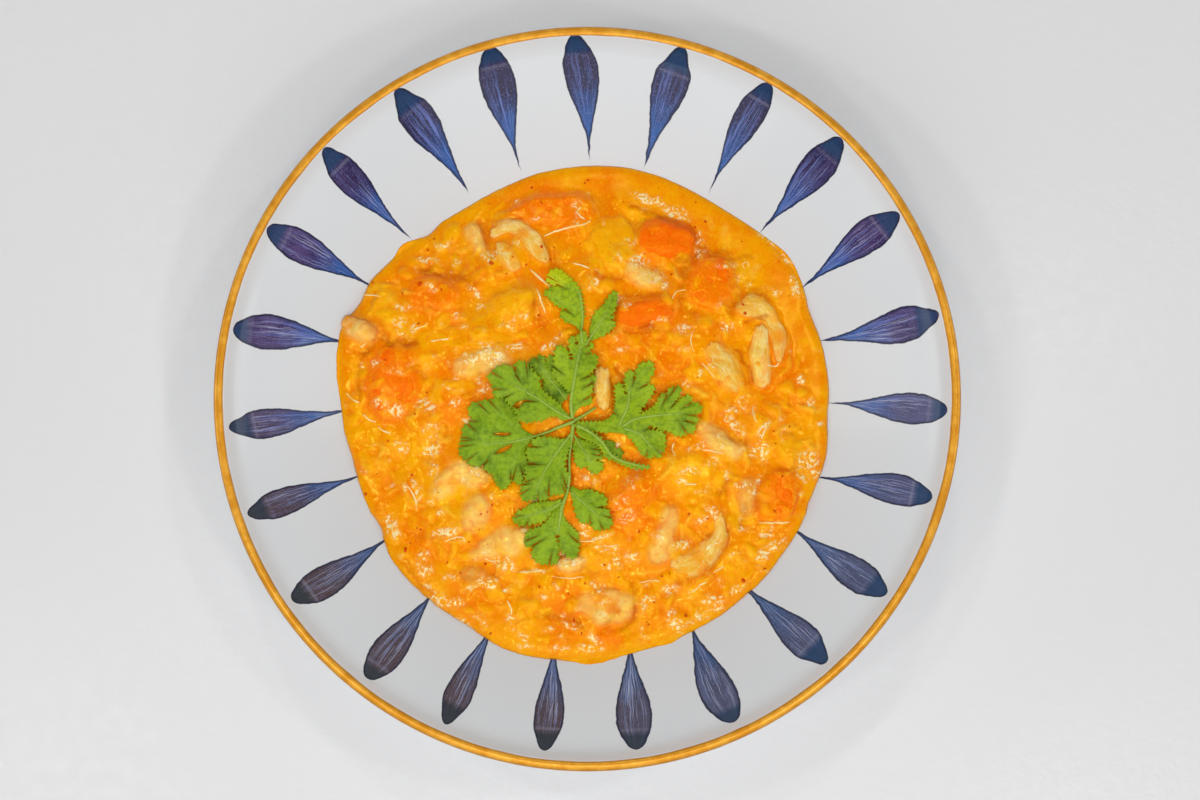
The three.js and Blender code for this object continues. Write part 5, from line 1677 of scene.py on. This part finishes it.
def toothed(outline, base):
    """The outline broken into small rounded teeth, except close to the stalk."""
    outline = np.asarray(outline, float)
    after = np.roll(outline, -1, axis=0)
    area = np.sum(outline[:, 0] * after[:, 1] - after[:, 0] * outline[:, 1])
    points = []
    for start, end in zip(outline, after):
        step = end - start
        length = np.hypot(*step)
        outward = np.array([step[1], -step[0]]) / max(length, 1e-6) * np.sign(area)
        teeth = max(1, round(length / TOOTH_LENGTH))
        near = smoothstep(2.5, 6.0, np.hypot(*((start + end) / 2 - base)))
        for k in range(teeth):
            points.append(start + step * k / teeth)
            for share, depth in ((0.3, 0.45), (0.62, 1.0), (0.82, 0.35)):
                bulge = TOOTH_DEPTH * depth * near * min(1.0, length / TOOTH_LENGTH)
                points.append(start + step * (k + share) / teeth + outward * bulge)
    return np.array(points)


def cut_outline(start, end):
    """A narrow opening that runs in from the leaf's edge to a point."""
    start, end = np.array(start, float), np.array(end, float)
    along = (end - start) / np.hypot(*(end - start))
    across = np.array([-along[1], along[0]]) * CUT_WIDTH / 2
    return np.array([start + across, end, start - across])


def inside(outline, x, y):
    """Which places lie inside a closed outline."""
    found = np.zeros(np.shape(x), bool)
    for (x0, y0), (x1, y1) in zip(outline, np.roll(outline, -1, axis=0)):
        if y0 != y1:
            crosses = (y0 > y) != (y1 > y)
            found ^= crosses & (x < (x1 - x0) * (y - y0) / (y1 - y0) + x0)
    return found


def closed_lines(outline):
    """The straight lines of a closed outline."""
    return list(zip(outline, np.roll(outline, -1, axis=0)))


class Leaf:
    """One leaf blade: its outline, its veins, and how it lies."""

    def __init__(self, name, form, seed):
        self.form = form
        self.base = np.array(form["base"])
        self.outline = toothed(form["outline"], self.base)
        self.gaps = [np.array(slit, float) for slit in form.get("slits", ())]
        self.gaps += [cut_outline(*cut) for cut in form.get("cuts", ())]
        self.noise = Noise(seed)
        self.ribs = []
        for owners, stalk in STALKS:
            if name in owners:
                flat = [point[:2] for point in stalk]
                self.ribs += list(zip(flat, flat[1:]))
        self.veins = []
        if self.ribs:
            self.vein_the_lobes()

    def vein_the_lobes(self):
        """Veins from the midrib to the tips of the lobes, and narrow gaps running in between the lobes."""
        corners = np.array(self.form["outline"], float)
        away = distance_to(self.ribs, corners[:, 0], corners[:, 1])
        before, after = np.roll(away, 1), np.roll(away, -1)
        for tip in corners[(away > before) & (away >= after) & (away > 1.2)]:
            foot = self.foot_on_rib(tip)
            self.veins.append((foot, tip + 0.12 * (foot - tip)))
        for notch in corners[(away < before) & (away <= after) & (away > 2.0)]:
            inward = self.foot_on_rib(notch) - notch
            length = np.hypot(*inward)
            reach = min(NOTCH_LIMIT, NOTCH_SHARE * length) / length
            self.gaps.append(cut_outline(notch - 0.5 * inward / length, notch + reach * inward))

    def foot_on_rib(self, place):
        """Where a vein to this place leaves the midrib: near the place, but rather towards the base."""
        ribs = np.array(self.ribs, float)
        starts, ends = ribs[:, :1], ribs[:, 1:]
        feet = (starts + np.array([[0.0], [0.35], [0.7]]) * (ends - starts)).reshape(-1, 2)
        costs = np.hypot(*(feet - place).T) + 0.55 * np.hypot(*(feet - self.base).T)
        return feet[int(np.argmin(costs))]

    def covers(self, x, y):
        """Which places lie on the blade."""
        found = inside(self.outline, x, y)
        for gap in self.gaps:
            found &= ~inside(gap, x, y)
        return found

    def height(self, x, y, ground):
        """Upper face of the blade: draped on the food, rising from its base, waved, creased by its veins."""
        flat = flat_places(x, y)
        away = np.hypot(x - self.base[0], y - self.base[1])
        rise = self.form["lift"] * smoothstep(0, 7, away)
        wave = 0.42 * self.noise(flat, 6.5) + 0.16 * self.noise(flat + 50, 2.4)
        edge = distance_to(closed_lines(np.array(self.form["outline"])), x, y)
        droop = -0.28 * np.exp(-((edge / 0.9) ** 2))
        crease = -0.2 * np.exp(-((distance_to(self.ribs + self.veins, x, y) / 0.5) ** 2))
        lie = sampled(ground, x, y - SERVING_OFFSET) + LEAF_GAP + LEAF_THICKNESS + rise
        return lie + np.maximum(wave, -0.3) * smoothstep(0, 4, away) + droop + crease

    def vein_share(self, x, y):
        """How pale the midribs and veins make each place."""
        ribs = np.exp(-((distance_to(self.ribs, x, y) / 0.5) ** 2))
        veins = np.exp(-((distance_to(self.veins, x, y) / 0.35) ** 2))
        return np.maximum(ribs, 0.45 * veins)

    def colours(self, x, y):
        """Greens that vary over the blade, yellower at the edge, darker along the gaps."""
        flat = flat_places(x, y)
        blotch = self.noise.layers(flat, 5.0, 3)
        fleck = self.noise(flat + 20, 1.1)
        colour = np.broadcast_to(LEAF_GREEN, (len(x), 3))
        colour = blend(0.12 + self.form["yellow"] + 0.5 * blotch, colour, LEAF_YELLOW)
        colour = blend(0.1 - 0.7 * blotch + 0.6 * fleck + self.form.get("shade", 0.0), colour, LEAF_DARK)
        edge = distance_to(closed_lines(self.outline), x, y)
        colour = blend(0.35 * np.exp(-((edge / 0.5) ** 2)), colour, LEAF_YELLOW)
        gap_lines = [line for gap in self.gaps for line in closed_lines(gap)]
        colour = blend(0.55 * np.exp(-((distance_to(gap_lines, x, y) / 0.5) ** 2)), colour, LEAF_DARK)
        if "bright" in self.form:
            at_x, at_y, reach = self.form["bright"]
            bright = smoothstep(1.1 * reach, 0.7 * reach, np.hypot(x - at_x, y - at_y))
            colour = blend(0.9 * bright, colour, LEAF_BRIGHT)
        return blend(0.5 * self.vein_share(x, y), colour, LEAF_VEIN)


def blade_triangles(leaf):
    """Places across the blade and the triangles that join them."""
    low, high = leaf.outline.min(0), leaf.outline.max(0)
    rows = np.arange(low[1], high[1], LEAF_SPACING * math.sqrt(3) / 2)
    columns = np.arange(low[0], high[0], LEAF_SPACING)
    places = np.array([(x + row % 2 * LEAF_SPACING / 2, y) for row, y in enumerate(rows) for x in columns])
    edges_near = [leaf.outline, *leaf.gaps]
    lines = [line for outline in edges_near for line in closed_lines(outline)]
    clear = distance_to(lines, places[:, 0], places[:, 1]) > 0.55 * LEAF_SPACING
    places = places[clear & leaf.covers(places[:, 0], places[:, 1])]
    points, edges = [], []
    for outline in edges_near:
        start = len(points)
        points += [Vector(point) for point in outline.tolist()]
        edges += [(start + k, start + (k + 1) % len(outline)) for k in range(len(outline))]
    points += [Vector(point) for point in places.tolist()]
    found, _, triangles, *_ = delaunay_2d_cdt(points, edges, [], 0, 1e-4)
    found = np.array([tuple(point) for point in found])
    triangles = np.array([tuple(triangle) for triangle in triangles])
    middle = found[triangles].mean(axis=1)
    triangles = triangles[leaf.covers(middle[:, 0], middle[:, 1])]
    used, triangles = np.unique(triangles, return_inverse=True)
    return found[used], triangles.reshape(-1, 3)


def blade_body(leaf, ground):
    """Points, faces and colours of a closed thin blade."""
    flat, triangles = blade_triangles(leaf)
    x, y = flat[:, 0], flat[:, 1]
    first, second, third = (flat[triangles[:, k]] for k in range(3))
    turn = (second[:, 0] - first[:, 0]) * (third[:, 1] - first[:, 1])
    turn -= (second[:, 1] - first[:, 1]) * (third[:, 0] - first[:, 0])
    triangles = np.where(turn[:, None] > 0, triangles, triangles[:, ::-1])
    top = np.stack([x, y, leaf.height(x, y, ground)], axis=1)
    bottom = top - [0, 0, LEAF_THICKNESS]
    count = len(top)
    sides = np.concatenate([triangles[:, [0, 1]], triangles[:, [1, 2]], triangles[:, [2, 0]]])
    forward = {(int(a), int(b)) for a, b in sides}
    rim = [(a, b) for a, b in forward if (b, a) not in forward]
    faces = triangles.tolist() + (triangles[:, ::-1] + count).tolist()
    faces += [(b, a, a + count, b + count) for a, b in sorted(rim)]
    colours = leaf.colours(x, y)
    return np.vstack([top, bottom]), faces, np.vstack([colours, colours * 0.8])


def curve_through(points, step):
    """A smooth line through points of any width, with samples about a step apart."""
    points = np.asarray(points, float)
    padded = np.vstack([2 * points[0] - points[1], points, 2 * points[-1] - points[-2]])
    samples = []
    for k in range(len(points) - 1):
        a, b, c, d = padded[k : k + 4]
        square, cube = 2 * a - 5 * b + 4 * c - d, 3 * b - a - 3 * c + d
        count = max(2, round(np.hypot(*(c - b)[:2]) / step))
        for t in np.arange(count) / count:
            samples.append(0.5 * (2 * b + (c - a) * t + square * t**2 + cube * t**3))
    samples.append(points[-1])
    return np.array(samples)


def tube(line, radii, sides):
    """A closed round tube along a line, pointed where its radius is small."""
    ahead = np.gradient(line, axis=0)
    ahead /= np.linalg.norm(ahead, axis=1, keepdims=True)
    aside = np.cross(ahead, [0.0, 0.0, 1.0])
    aside /= np.linalg.norm(aside, axis=1, keepdims=True)
    above = np.cross(aside, ahead)
    turn = 2 * math.pi * np.arange(sides) / sides
    ring = aside[:, None] * np.cos(turn)[:, None] + above[:, None] * np.sin(turn)[:, None]
    points = line[:, None] + ring * radii[:, None, None]
    points = np.vstack([points.reshape(-1, 3), line[:1], line[-1:]])
    return points, closed_rings(len(line), sides)


def stalk_body(stalk, canopy):
    """Points, faces and colours of one stalk laid over the leaves and the food."""
    samples = curve_through(stalk, 0.6)
    radii = STALK_SLIMNESS * samples[:, 2]
    lie = sampled(canopy, samples[:, 0], samples[:, 1] - SERVING_OFFSET)
    padded = np.pad(lie, 3, mode="edge")
    lie = np.maximum(lie, np.mean([padded[k : k + len(lie)] for k in range(7)], axis=0))
    line = np.stack([samples[:, 0], samples[:, 1], lie + 0.35 * radii], axis=1)
    points, faces = tube(line, radii, STALK_SIDES)
    streak = Noise(71)(points, 1.8)
    colours = blend(0.4 + 0.5 * streak, np.broadcast_to(STALK_GREEN, points.shape), LEAF_VEIN)
    return points, faces, colours


def joined(parts):
    """Several bodies as one list of points, faces and colours."""
    points, faces, colours = [], [], []
    start = 0
    for part_points, part_faces, part_colours in parts:
        points.append(part_points)
        colours.append(part_colours)
        faces += [tuple(start + corner for corner in face) for face in part_faces]
        start += len(part_points)
    return np.vstack(points), faces, np.vstack(colours)


def make_coriander(relief, surface):
    """The sprig: blades draped on the food, then stalks laid over the blades."""
    ground = blurred(spread(surface.top, 0.9), 1.2)
    canopy = ground + 0.2
    served_y = relief.y + SERVING_OFFSET
    parts = []
    for number, (name, form) in enumerate(LEAVES.items()):
        leaf = Leaf(name, form, 80 + number)
        parts.append(blade_body(leaf, ground))
        covered = leaf.covers(relief.x, served_y)
        there = leaf.height(relief.x[covered], served_y[covered], ground)
        canopy[covered] = np.maximum(canopy[covered], there)
    parts += [stalk_body(stalk, canopy) for _, stalk in STALKS]
    points, faces, colours = joined(parts)
    sprig = mesh_object("coriander", served(points), faces)
    paint(sprig.data, colours)
    sprig.data.materials.append(leaf_material())
    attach(sprig, "root")
    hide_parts("coriander_sprig")


def leaf_material():
    """Fresh leaf with a fine grain."""
    s = Shader("coriander_leaf")
    place = s.object_place()
    colour = s.attribute("tint").outputs["Color"]
    grain = s.noise(place, 1500.0, 3.0, 0.6)
    colour = s.mix(s.ramp(grain, 0.5, 0.3, 0.0, 0.45), colour, (*LEAF_DARK, 1.0))
    colour = s.mix(s.ramp(grain, 0.54, 0.7, 0.0, 0.35), colour, (*LEAF_YELLOW, 1.0))
    s.set(
        Base_Color=colour,
        Roughness=0.5,
        Normal=s.bump(grain, 0.00012, 0.5),
        Specular_IOR_Level=0.3,
        Specular_Tint=(1.0, 1.0, 0.6, 1.0),
    )
    return s.material


# ------------------------------------------------------------------ scattered bits

# Thin glossy shreds seen lying on the sauce, coloured near white as painted glint lines: radius in mm, then
# the points they run through.
THREADS = (
    (0.34, ((-13, 50), (-9.5, 51.6), (-5, 52.6), (-1.5, 53.2), (0.8, 54.6))),
    (0.3, ((-71, 3.6), (-69, 1.6), (-67, 0.6))), (0.26, ((-66, -2.6), (-64, -4.4), (-62, -5))),
    (0.3, ((-61.5, -6.4), (-60, -7.6), (-57.6, -8.4))), (0.24, ((-46, 18.6), (-43, 18.8), (-40.4, 19.2))),
    (0.4, ((-17, 40), (-14, 37), (-10.7, 34.1))), (0.3, ((-15, 34), (-13.6, 30), (-12.4, 26.6))),
    (0.24, ((-53, -23.4), (-51.4, -25.4), (-50, -28.6), (-50, -31))),
    (0.24, ((-45, -37), (-42.6, -38), (-40, -36.6), (-37.6, -36))),
    (0.22, ((-41.6, -40), (-38.4, -38.8), (-36, -38.9), (-35.4, -40.4))),
    (0.22, ((-23.4, -56.8), (-22.2, -59), (-22, -61))), (0.3, ((-20, -48.8), (-16.8, -48.6), (-13, -48.2))),
    (0.22, ((-2.6, -39.8), (1, -39.8), (3.6, -38.8), (6.6, -38.2))),
    (0.17, ((-10.6, -50), (-6, -50.5), (-1, -50.1))), (0.2, ((30.4, 20.6), (30, 18), (30.8, 15.2))),
    (0.22, ((33.2, 12), (34.6, 10.6), (36.8, 7.6))), (0.26, ((52.6, 11.4), (55.4, 11.6), (57.2, 14.6))),
    (0.3, ((49.8, -34.4), (53.4, -34.5), (58.8, -34.2))), (0.28, ((36.4, -49), (38, -48), (39.6, -47))),
    (0.26, ((30, -54.6), (32, -53), (34.6, -51.4))), (0.2, ((28.8, 33.6), (26, 33), (24.6, 30.6))),
    (0.22, ((-30, -44.8), (-27.6, -45.6), (-25.6, -45.2))),
    (0.24, ((33, -13.2), (36, -13.8), (39.4, -14.4))), (0.22, ((28, -23.4), (31.6, -23.4))),
    (0.26, ((-67, 17), (-64.6, 17.8))), (0.2, ((-66.4, 32.4), (-63, 32.2), (-60.6, 31.6))),
    (0.26, ((-4.6, 41.6), (-1.6, 40.8), (0.6, 39.8))), (0.24, ((48, -1), (48.6, -4), (49.4, -5.4))),
    (0.26, ((50.6, -10), (51.6, -7.6), (53, -5.6))), (0.22, ((15, -51.8), (18, -51.2), (21, -51.4))),
    (0.24, ((-55.6, -33.6), (-57, -36), (-56.2, -39.4))),
)
LOOSE_THREADS = 14
# Flecks of chilli: x, y, size in mm.
FLECKS = (
    (-63.5, 36.2, 0.8), (-49.3, 35.6, 1.5), (-47.5, 46.2, 0.9), (-28.4, 41.8, 1.6), (-24, 38.6, 1.0),
    (-49.6, 23.8, 1.0), (-43, 33.7, 0.9), (-54.6, 33, 0.8), (-13.6, 46.4, 1.0), (-10, 46.4, 0.6),
    (0, 67.2, 1.0), (-1, 66.4, 0.8), (-16.8, 65.2, 0.9), (-18.2, 41.4, 0.8), (34.8, 54.8, 1.0),
    (31.8, 53, 0.8), (45.6, 48.6, 0.7), (32, 60.6, 0.8), (45.4, 29.2, 1.1), (46, 26.6, 1.2),
    (56.4, 42.6, 0.6), (-53, -42.4, 1.9), (-51.6, -40.4, 0.8), (-36.8, -49, 0.9), (-29.6, -46.4, 1.1),
    (-34.4, -40, 0.7), (-48.6, -36.4, 1.0), (-49.6, -36, 0.7), (-14.4, 26, 1.2), (7.4, -31.4, 0.9),
    (14.8, -37, 0.9), (16.2, -30, 0.7), (-4, -62.6, 1.2), (-1.8, -66.4, 1.1), (4.8, -46.6, 1.0),
    (9, -50.2, 0.9), (-5.6, -55, 0.8), (51.4, -47.8, 1.0), (45.2, -51.2, 1.3), (28.4, -61.4, 1.2),
    (17.6, -63.8, 0.7), (21.6, -50, 0.8), (54.4, -7.8, 0.8), (59, -6.4, 0.7), (37, 20, 0.6),
    (-29, -31.4, 0.6), (-27.6, -29.4, 0.7), (-8, 20, 0.7), (-51.4, -20.6, 0.8), (-65, -26, 1.1),
    (-28, -66.4, 1.0), (29.4, -32, 0.9), (29, -50.6, 0.8), (56.6, -21, 0.8), (-21.6, -22.4, 0.8),
)
LOOSE_FLECKS = 34
SPECK_COUNT = 90
LOOSE_REACH = 69.0
FLECK_RED = tone(216, 54, 4)
FLECK_BROWN = tone(204, 88, 4)


def thread_body(points, radius, surface, seed):
    """A thin shred draped over whatever lies under it, thinner towards its ends."""
    line = curve_through([(*point, 0.0) for point in points], 0.45)
    x, y = line[:, 0], line[:, 1]
    wander = 0.25 * Noise(seed).layers(line[:, :2], 1.6, 2)
    lie = sampled(surface.smooth_top, x, y) - 0.15 * radius + 0.3 * np.abs(wander)
    share = np.linspace(0, 1, len(line))
    radii = 1.05 * radius * (0.35 + 0.65 * np.sqrt(np.clip(4 * share * (1 - share), 0, 1)))
    radii = radii * (1 + 1.2 * wander)
    points, faces = tube(np.stack([x + wander, y - wander, lie], axis=1), np.maximum(radii, 0.06), 6)
    # Painted glint lines: the shred's colour runs from yellow to near white.
    pale = 0.6 + 0.6 * Noise(seed + 1)(points, 2.0)
    return points, faces, blend(pale, np.broadcast_to(SAUCE_YELLOW, points.shape), GLINT_CREAM)


def loose_threads(relief):
    """Courses of more shreds, drawn where the sauce glitters."""
    draw = np.random.default_rng(61)
    courses = []
    while len(courses) < LOOSE_THREADS:
        x, y = draw.uniform(-68, 68, 2)
        if inward_of(x, y) < 3 or sampled(relief.glitter, x, y) < draw.uniform(0.15, 0.9):
            continue
        heading, turn, length = draw.uniform(0, 2 * math.pi), draw.normal(0, 0.9), draw.uniform(0.5, 1.6)
        course = [(x, y)]
        for _ in range(3):
            x, y = x + length * math.cos(heading), y + length * math.sin(heading)
            course.append((x, y))
            heading += turn
        courses.append((draw.uniform(0.14, 0.22), course))
    return courses


def crumb(x, y, size, surface, draw):
    """Points and faces of a small flat irregular crumb lying on the food."""
    rows, sides = 5, 7
    tilt = np.linspace(0, math.pi, rows + 2)[1:-1]
    turn = 2 * math.pi * np.arange(sides) / sides
    ring = np.stack([np.sin(tilt)[:, None] * np.cos(turn), np.sin(tilt)[:, None] * np.sin(turn)], axis=-1)
    ring = ring * draw.uniform(0.72, 1.2, ring.shape[:2])[..., None]
    heading, slim = draw.uniform(0, math.pi), draw.uniform(0.5, 0.95)
    cos, sin = math.cos(heading), math.sin(heading)
    across = ring[..., 1] * slim
    flat_x = x + size / 2 * (ring[..., 0] * cos - across * sin)
    flat_y = y + size / 2 * (ring[..., 0] * sin + across * cos)
    level = float(sampled(surface.smooth_top, x, y)) + 0.05
    height = level + 0.16 * size * np.cos(tilt)[:, None] + 0 * turn
    points = np.stack([flat_x, flat_y, height], axis=-1).reshape(-1, 3)
    points = np.vstack([points, [(x, y, level + 0.17 * size), (x, y, level - 0.17 * size)]])
    return points, closed_rings(rows, sides)


def coloured_crumb(x, y, size, colour, surface, draw):
    """A crumb whose tone varies from corner to corner."""
    points, faces = crumb(x, y, size, surface, draw)
    shade = draw.uniform(0.8, 1.1, (len(points), 1))
    return points, faces, colour * shade


def scattered_object(name, parts, material):
    """One object of many small bits, without a solid of its own in the CAD part."""
    points, faces, colours = joined(parts)
    piece = mesh_object(name, points, faces)
    paint(piece.data, colours)
    piece.data.materials.append(material)
    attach(piece, "root")


def make_bits(relief, surface):
    """Shreds, chilli flecks and specks of spice lying on the food."""
    surface.smooth_top = blurred(surface.top, 0.3, 1)
    threads = [(radius, served(points)) for radius, points in THREADS] + loose_threads(relief)
    parts = [thread_body(points, radius, surface, 300 + k) for k, (radius, points) in enumerate(threads)]
    scattered_object("shreds", parts, bit_material("wet_shreds", 0.22))

    draw = np.random.default_rng(62)
    loose = [(*random_place(draw, LOOSE_REACH), draw.uniform(0.4, 0.9)) for _ in range(LOOSE_FLECKS)]
    flecks = [*served(FLECKS), *loose]
    parts = []
    for x, y, size in flecks:
        colour = FLECK_RED + draw.uniform(0, 0.7) * (FLECK_BROWN - FLECK_RED)
        parts.append(coloured_crumb(x, y, size, colour, surface, draw))
    scattered_object("chilli_flecks", parts, bit_material("chilli", 0.35))

    parts = []
    for _ in range(SPECK_COUNT):
        size = draw.uniform(0.25, 0.5)
        place = random_place(draw, LOOSE_REACH)
        parts.append(coloured_crumb(*place, size, FLECK_BROWN, surface, draw))
    scattered_object("spice_specks", parts, bit_material("spice", 0.5))


def bit_material(name, roughness):
    """Small bits in their vertex colours, with the food's warm shine."""
    s = Shader(name)
    colour = s.attribute("tint").outputs["Color"]
    s.set(Base_Color=colour, Roughness=roughness, Specular_IOR_Level=0.4, Specular_Tint=WARM_SHINE)
    return s.material


# ------------------------------------------------------------------ stage


CAMERA_LENS = 50.0
CAMERA_SENSOR = 36.0
CAMERA_TILT = 4.8  # degrees from straight down, leaning towards the diner
CAMERA_DISTANCE = 0.4668
VIEW_CENTRE = Vector((0.0, 0.0, RIM_HEIGHT * MM))
FRAME_WIDTH_PX = 1200
FRAME_HEIGHT_PX = 800
RIM_CENTRE_PX = (587.3, 391.7)  # where the middle of the rim lies in the frame


def make_camera():
    """The picture's view: almost straight down, and a little off the plate's middle."""
    data = bpy.data.cameras.new("camera")
    data.lens = CAMERA_LENS
    data.sensor_width = CAMERA_SENSOR
    camera = bpy.data.objects.new("camera", data)
    bpy.context.scene.collection.objects.link(camera)
    tilt = math.radians(CAMERA_TILT)
    back = Vector((0.0, -math.sin(tilt), math.cos(tilt)))
    per_px = CAMERA_DISTANCE * CAMERA_SENSOR / CAMERA_LENS / FRAME_WIDTH_PX
    right = Vector((1.0, 0.0, 0.0))
    up = back.cross(right)
    aside = right * (FRAME_WIDTH_PX / 2 - RIM_CENTRE_PX[0]) * per_px
    above = up * (RIM_CENTRE_PX[1] - FRAME_HEIGHT_PX / 2) * per_px
    camera.location = VIEW_CENTRE + back * CAMERA_DISTANCE + aside + above
    camera.rotation_euler = (tilt, 0.0, 0.0)
    bpy.context.scene.camera = camera


FLOOR_REACH = 20000.0  # mm from the plate to each side of the floor


def make_floor():
    """A pale table top that runs on beyond the picture."""
    corners = [(x * FLOOR_REACH, y * FLOOR_REACH, 0.0) for x, y in ((-1, -1), (1, -1), (1, 1), (-1, 1))]
    floor = mesh_object("floor", corners, [(0, 1, 2, 3)])
    s = Shader("pale_table")
    place = s.object_place()
    grain = s.noise(place, 260.0, 4.0, 0.6)
    s.set(
        Base_Color=srgb(226, 226, 227),
        Roughness=s.ramp(grain, 0.3, 0.7, 0.3, 0.42),
        Normal=s.bump(grain, 0.0004, 0.35),
    )
    floor.data.materials.append(s.material)


def area_light(name, place, size, power):
    """A white round lamp at a place, turned towards the plate."""
    data = bpy.data.lights.new(name, "AREA")
    data.shape = "DISK"
    data.size = size
    data.energy = power
    light = bpy.data.objects.new(name, data)
    light.location = place
    light.rotation_euler = (-Vector(place)).to_track_quat("-Z", "Y").to_euler()
    bpy.context.scene.collection.objects.link(light)


def sky_place(heading, elevation, distance):
    """A place seen from the plate at a heading and an elevation in degrees, in metres."""
    turn, rise = math.radians(heading), math.radians(elevation)
    flat = distance * math.cos(rise)
    return (flat * math.cos(turn), flat * math.sin(turn), distance * math.sin(rise))


SKY_ZENITH = 0.05
SKY_MIDDLE = 0.23
SKY_HORIZON = 0.62
# Share of the way from the lowest to the highest direction, and the sky's strength there.
SKY_LEVELS = (
    (0.0, SKY_HORIZON), (0.4, SKY_HORIZON), (0.62, SKY_MIDDLE),
    (0.86, 0.7 * SKY_MIDDLE), (0.95, SKY_ZENITH), (1.0, SKY_ZENITH),
)
KEY_SIZE = 2.6
KEY_POWER = 20.2
KEY_DISTANCE = 2.0
KEY_PLACE = (268, 60)  # heading and elevation in degrees
FILL_SIZE = 1.0
# Heading, elevation and power of the broad low lights from both sides.
FILLS = ((178, 20, 3.2), (2, 20, 3.2))
LAMP_SIZE = 0.06
LAMP_DISTANCE = 1.0
# Heading, elevation and power of the small lamps whose images make the glints.
LAMPS = ((20, 66, 0.6), (95, 62, 0.5), (150, 66, 0.5), (205, 62, 0.6), (262, 68, 0.6), (318, 60, 0.7))


def make_world():
    """A soft studio sky: dark overhead, where the camera stands, and lighter lower down."""
    world = bpy.data.worlds.new("studio")
    world.use_nodes = True
    tree = world.node_tree
    place = tree.nodes.new("ShaderNodeTexCoord").outputs["Generated"]
    split = tree.nodes.new("ShaderNodeSeparateXYZ")
    ramp = tree.nodes.new("ShaderNodeFloatCurve")
    draw_curve(ramp, SKY_LEVELS)
    background = tree.nodes["Background"]
    tree.links.new(place, split.inputs[0])
    tree.links.new(split.outputs[2], ramp.inputs["Value"])
    tree.links.new(ramp.outputs[0], background.inputs["Strength"])
    background.inputs["Color"].default_value = (1.0, 1.0, 1.0, 1.0)
    bpy.context.scene.world = world


def make_lights():
    """A broad key light from the diner's side, two low fills and a ring of small lamps."""
    make_world()
    area_light("key", sky_place(*KEY_PLACE, KEY_DISTANCE), KEY_SIZE, KEY_POWER)
    for number, (heading, elevation, power) in enumerate(FILLS):
        area_light(f"fill_{number}", sky_place(heading, elevation, KEY_DISTANCE), FILL_SIZE, power)
    for number, (heading, elevation, power) in enumerate(LAMPS):
        area_light(f"lamp_{number}", sky_place(heading, elevation, LAMP_DISTANCE), LAMP_SIZE, power)
    bpy.context.scene.view_settings.view_transform = "Standard"


# ------------------------------------------------------------------ the whole


make_plate()
relief, surface = make_food()
make_bits(relief, surface)
make_coriander(relief, surface)
make_camera()
make_floor()
make_lights()
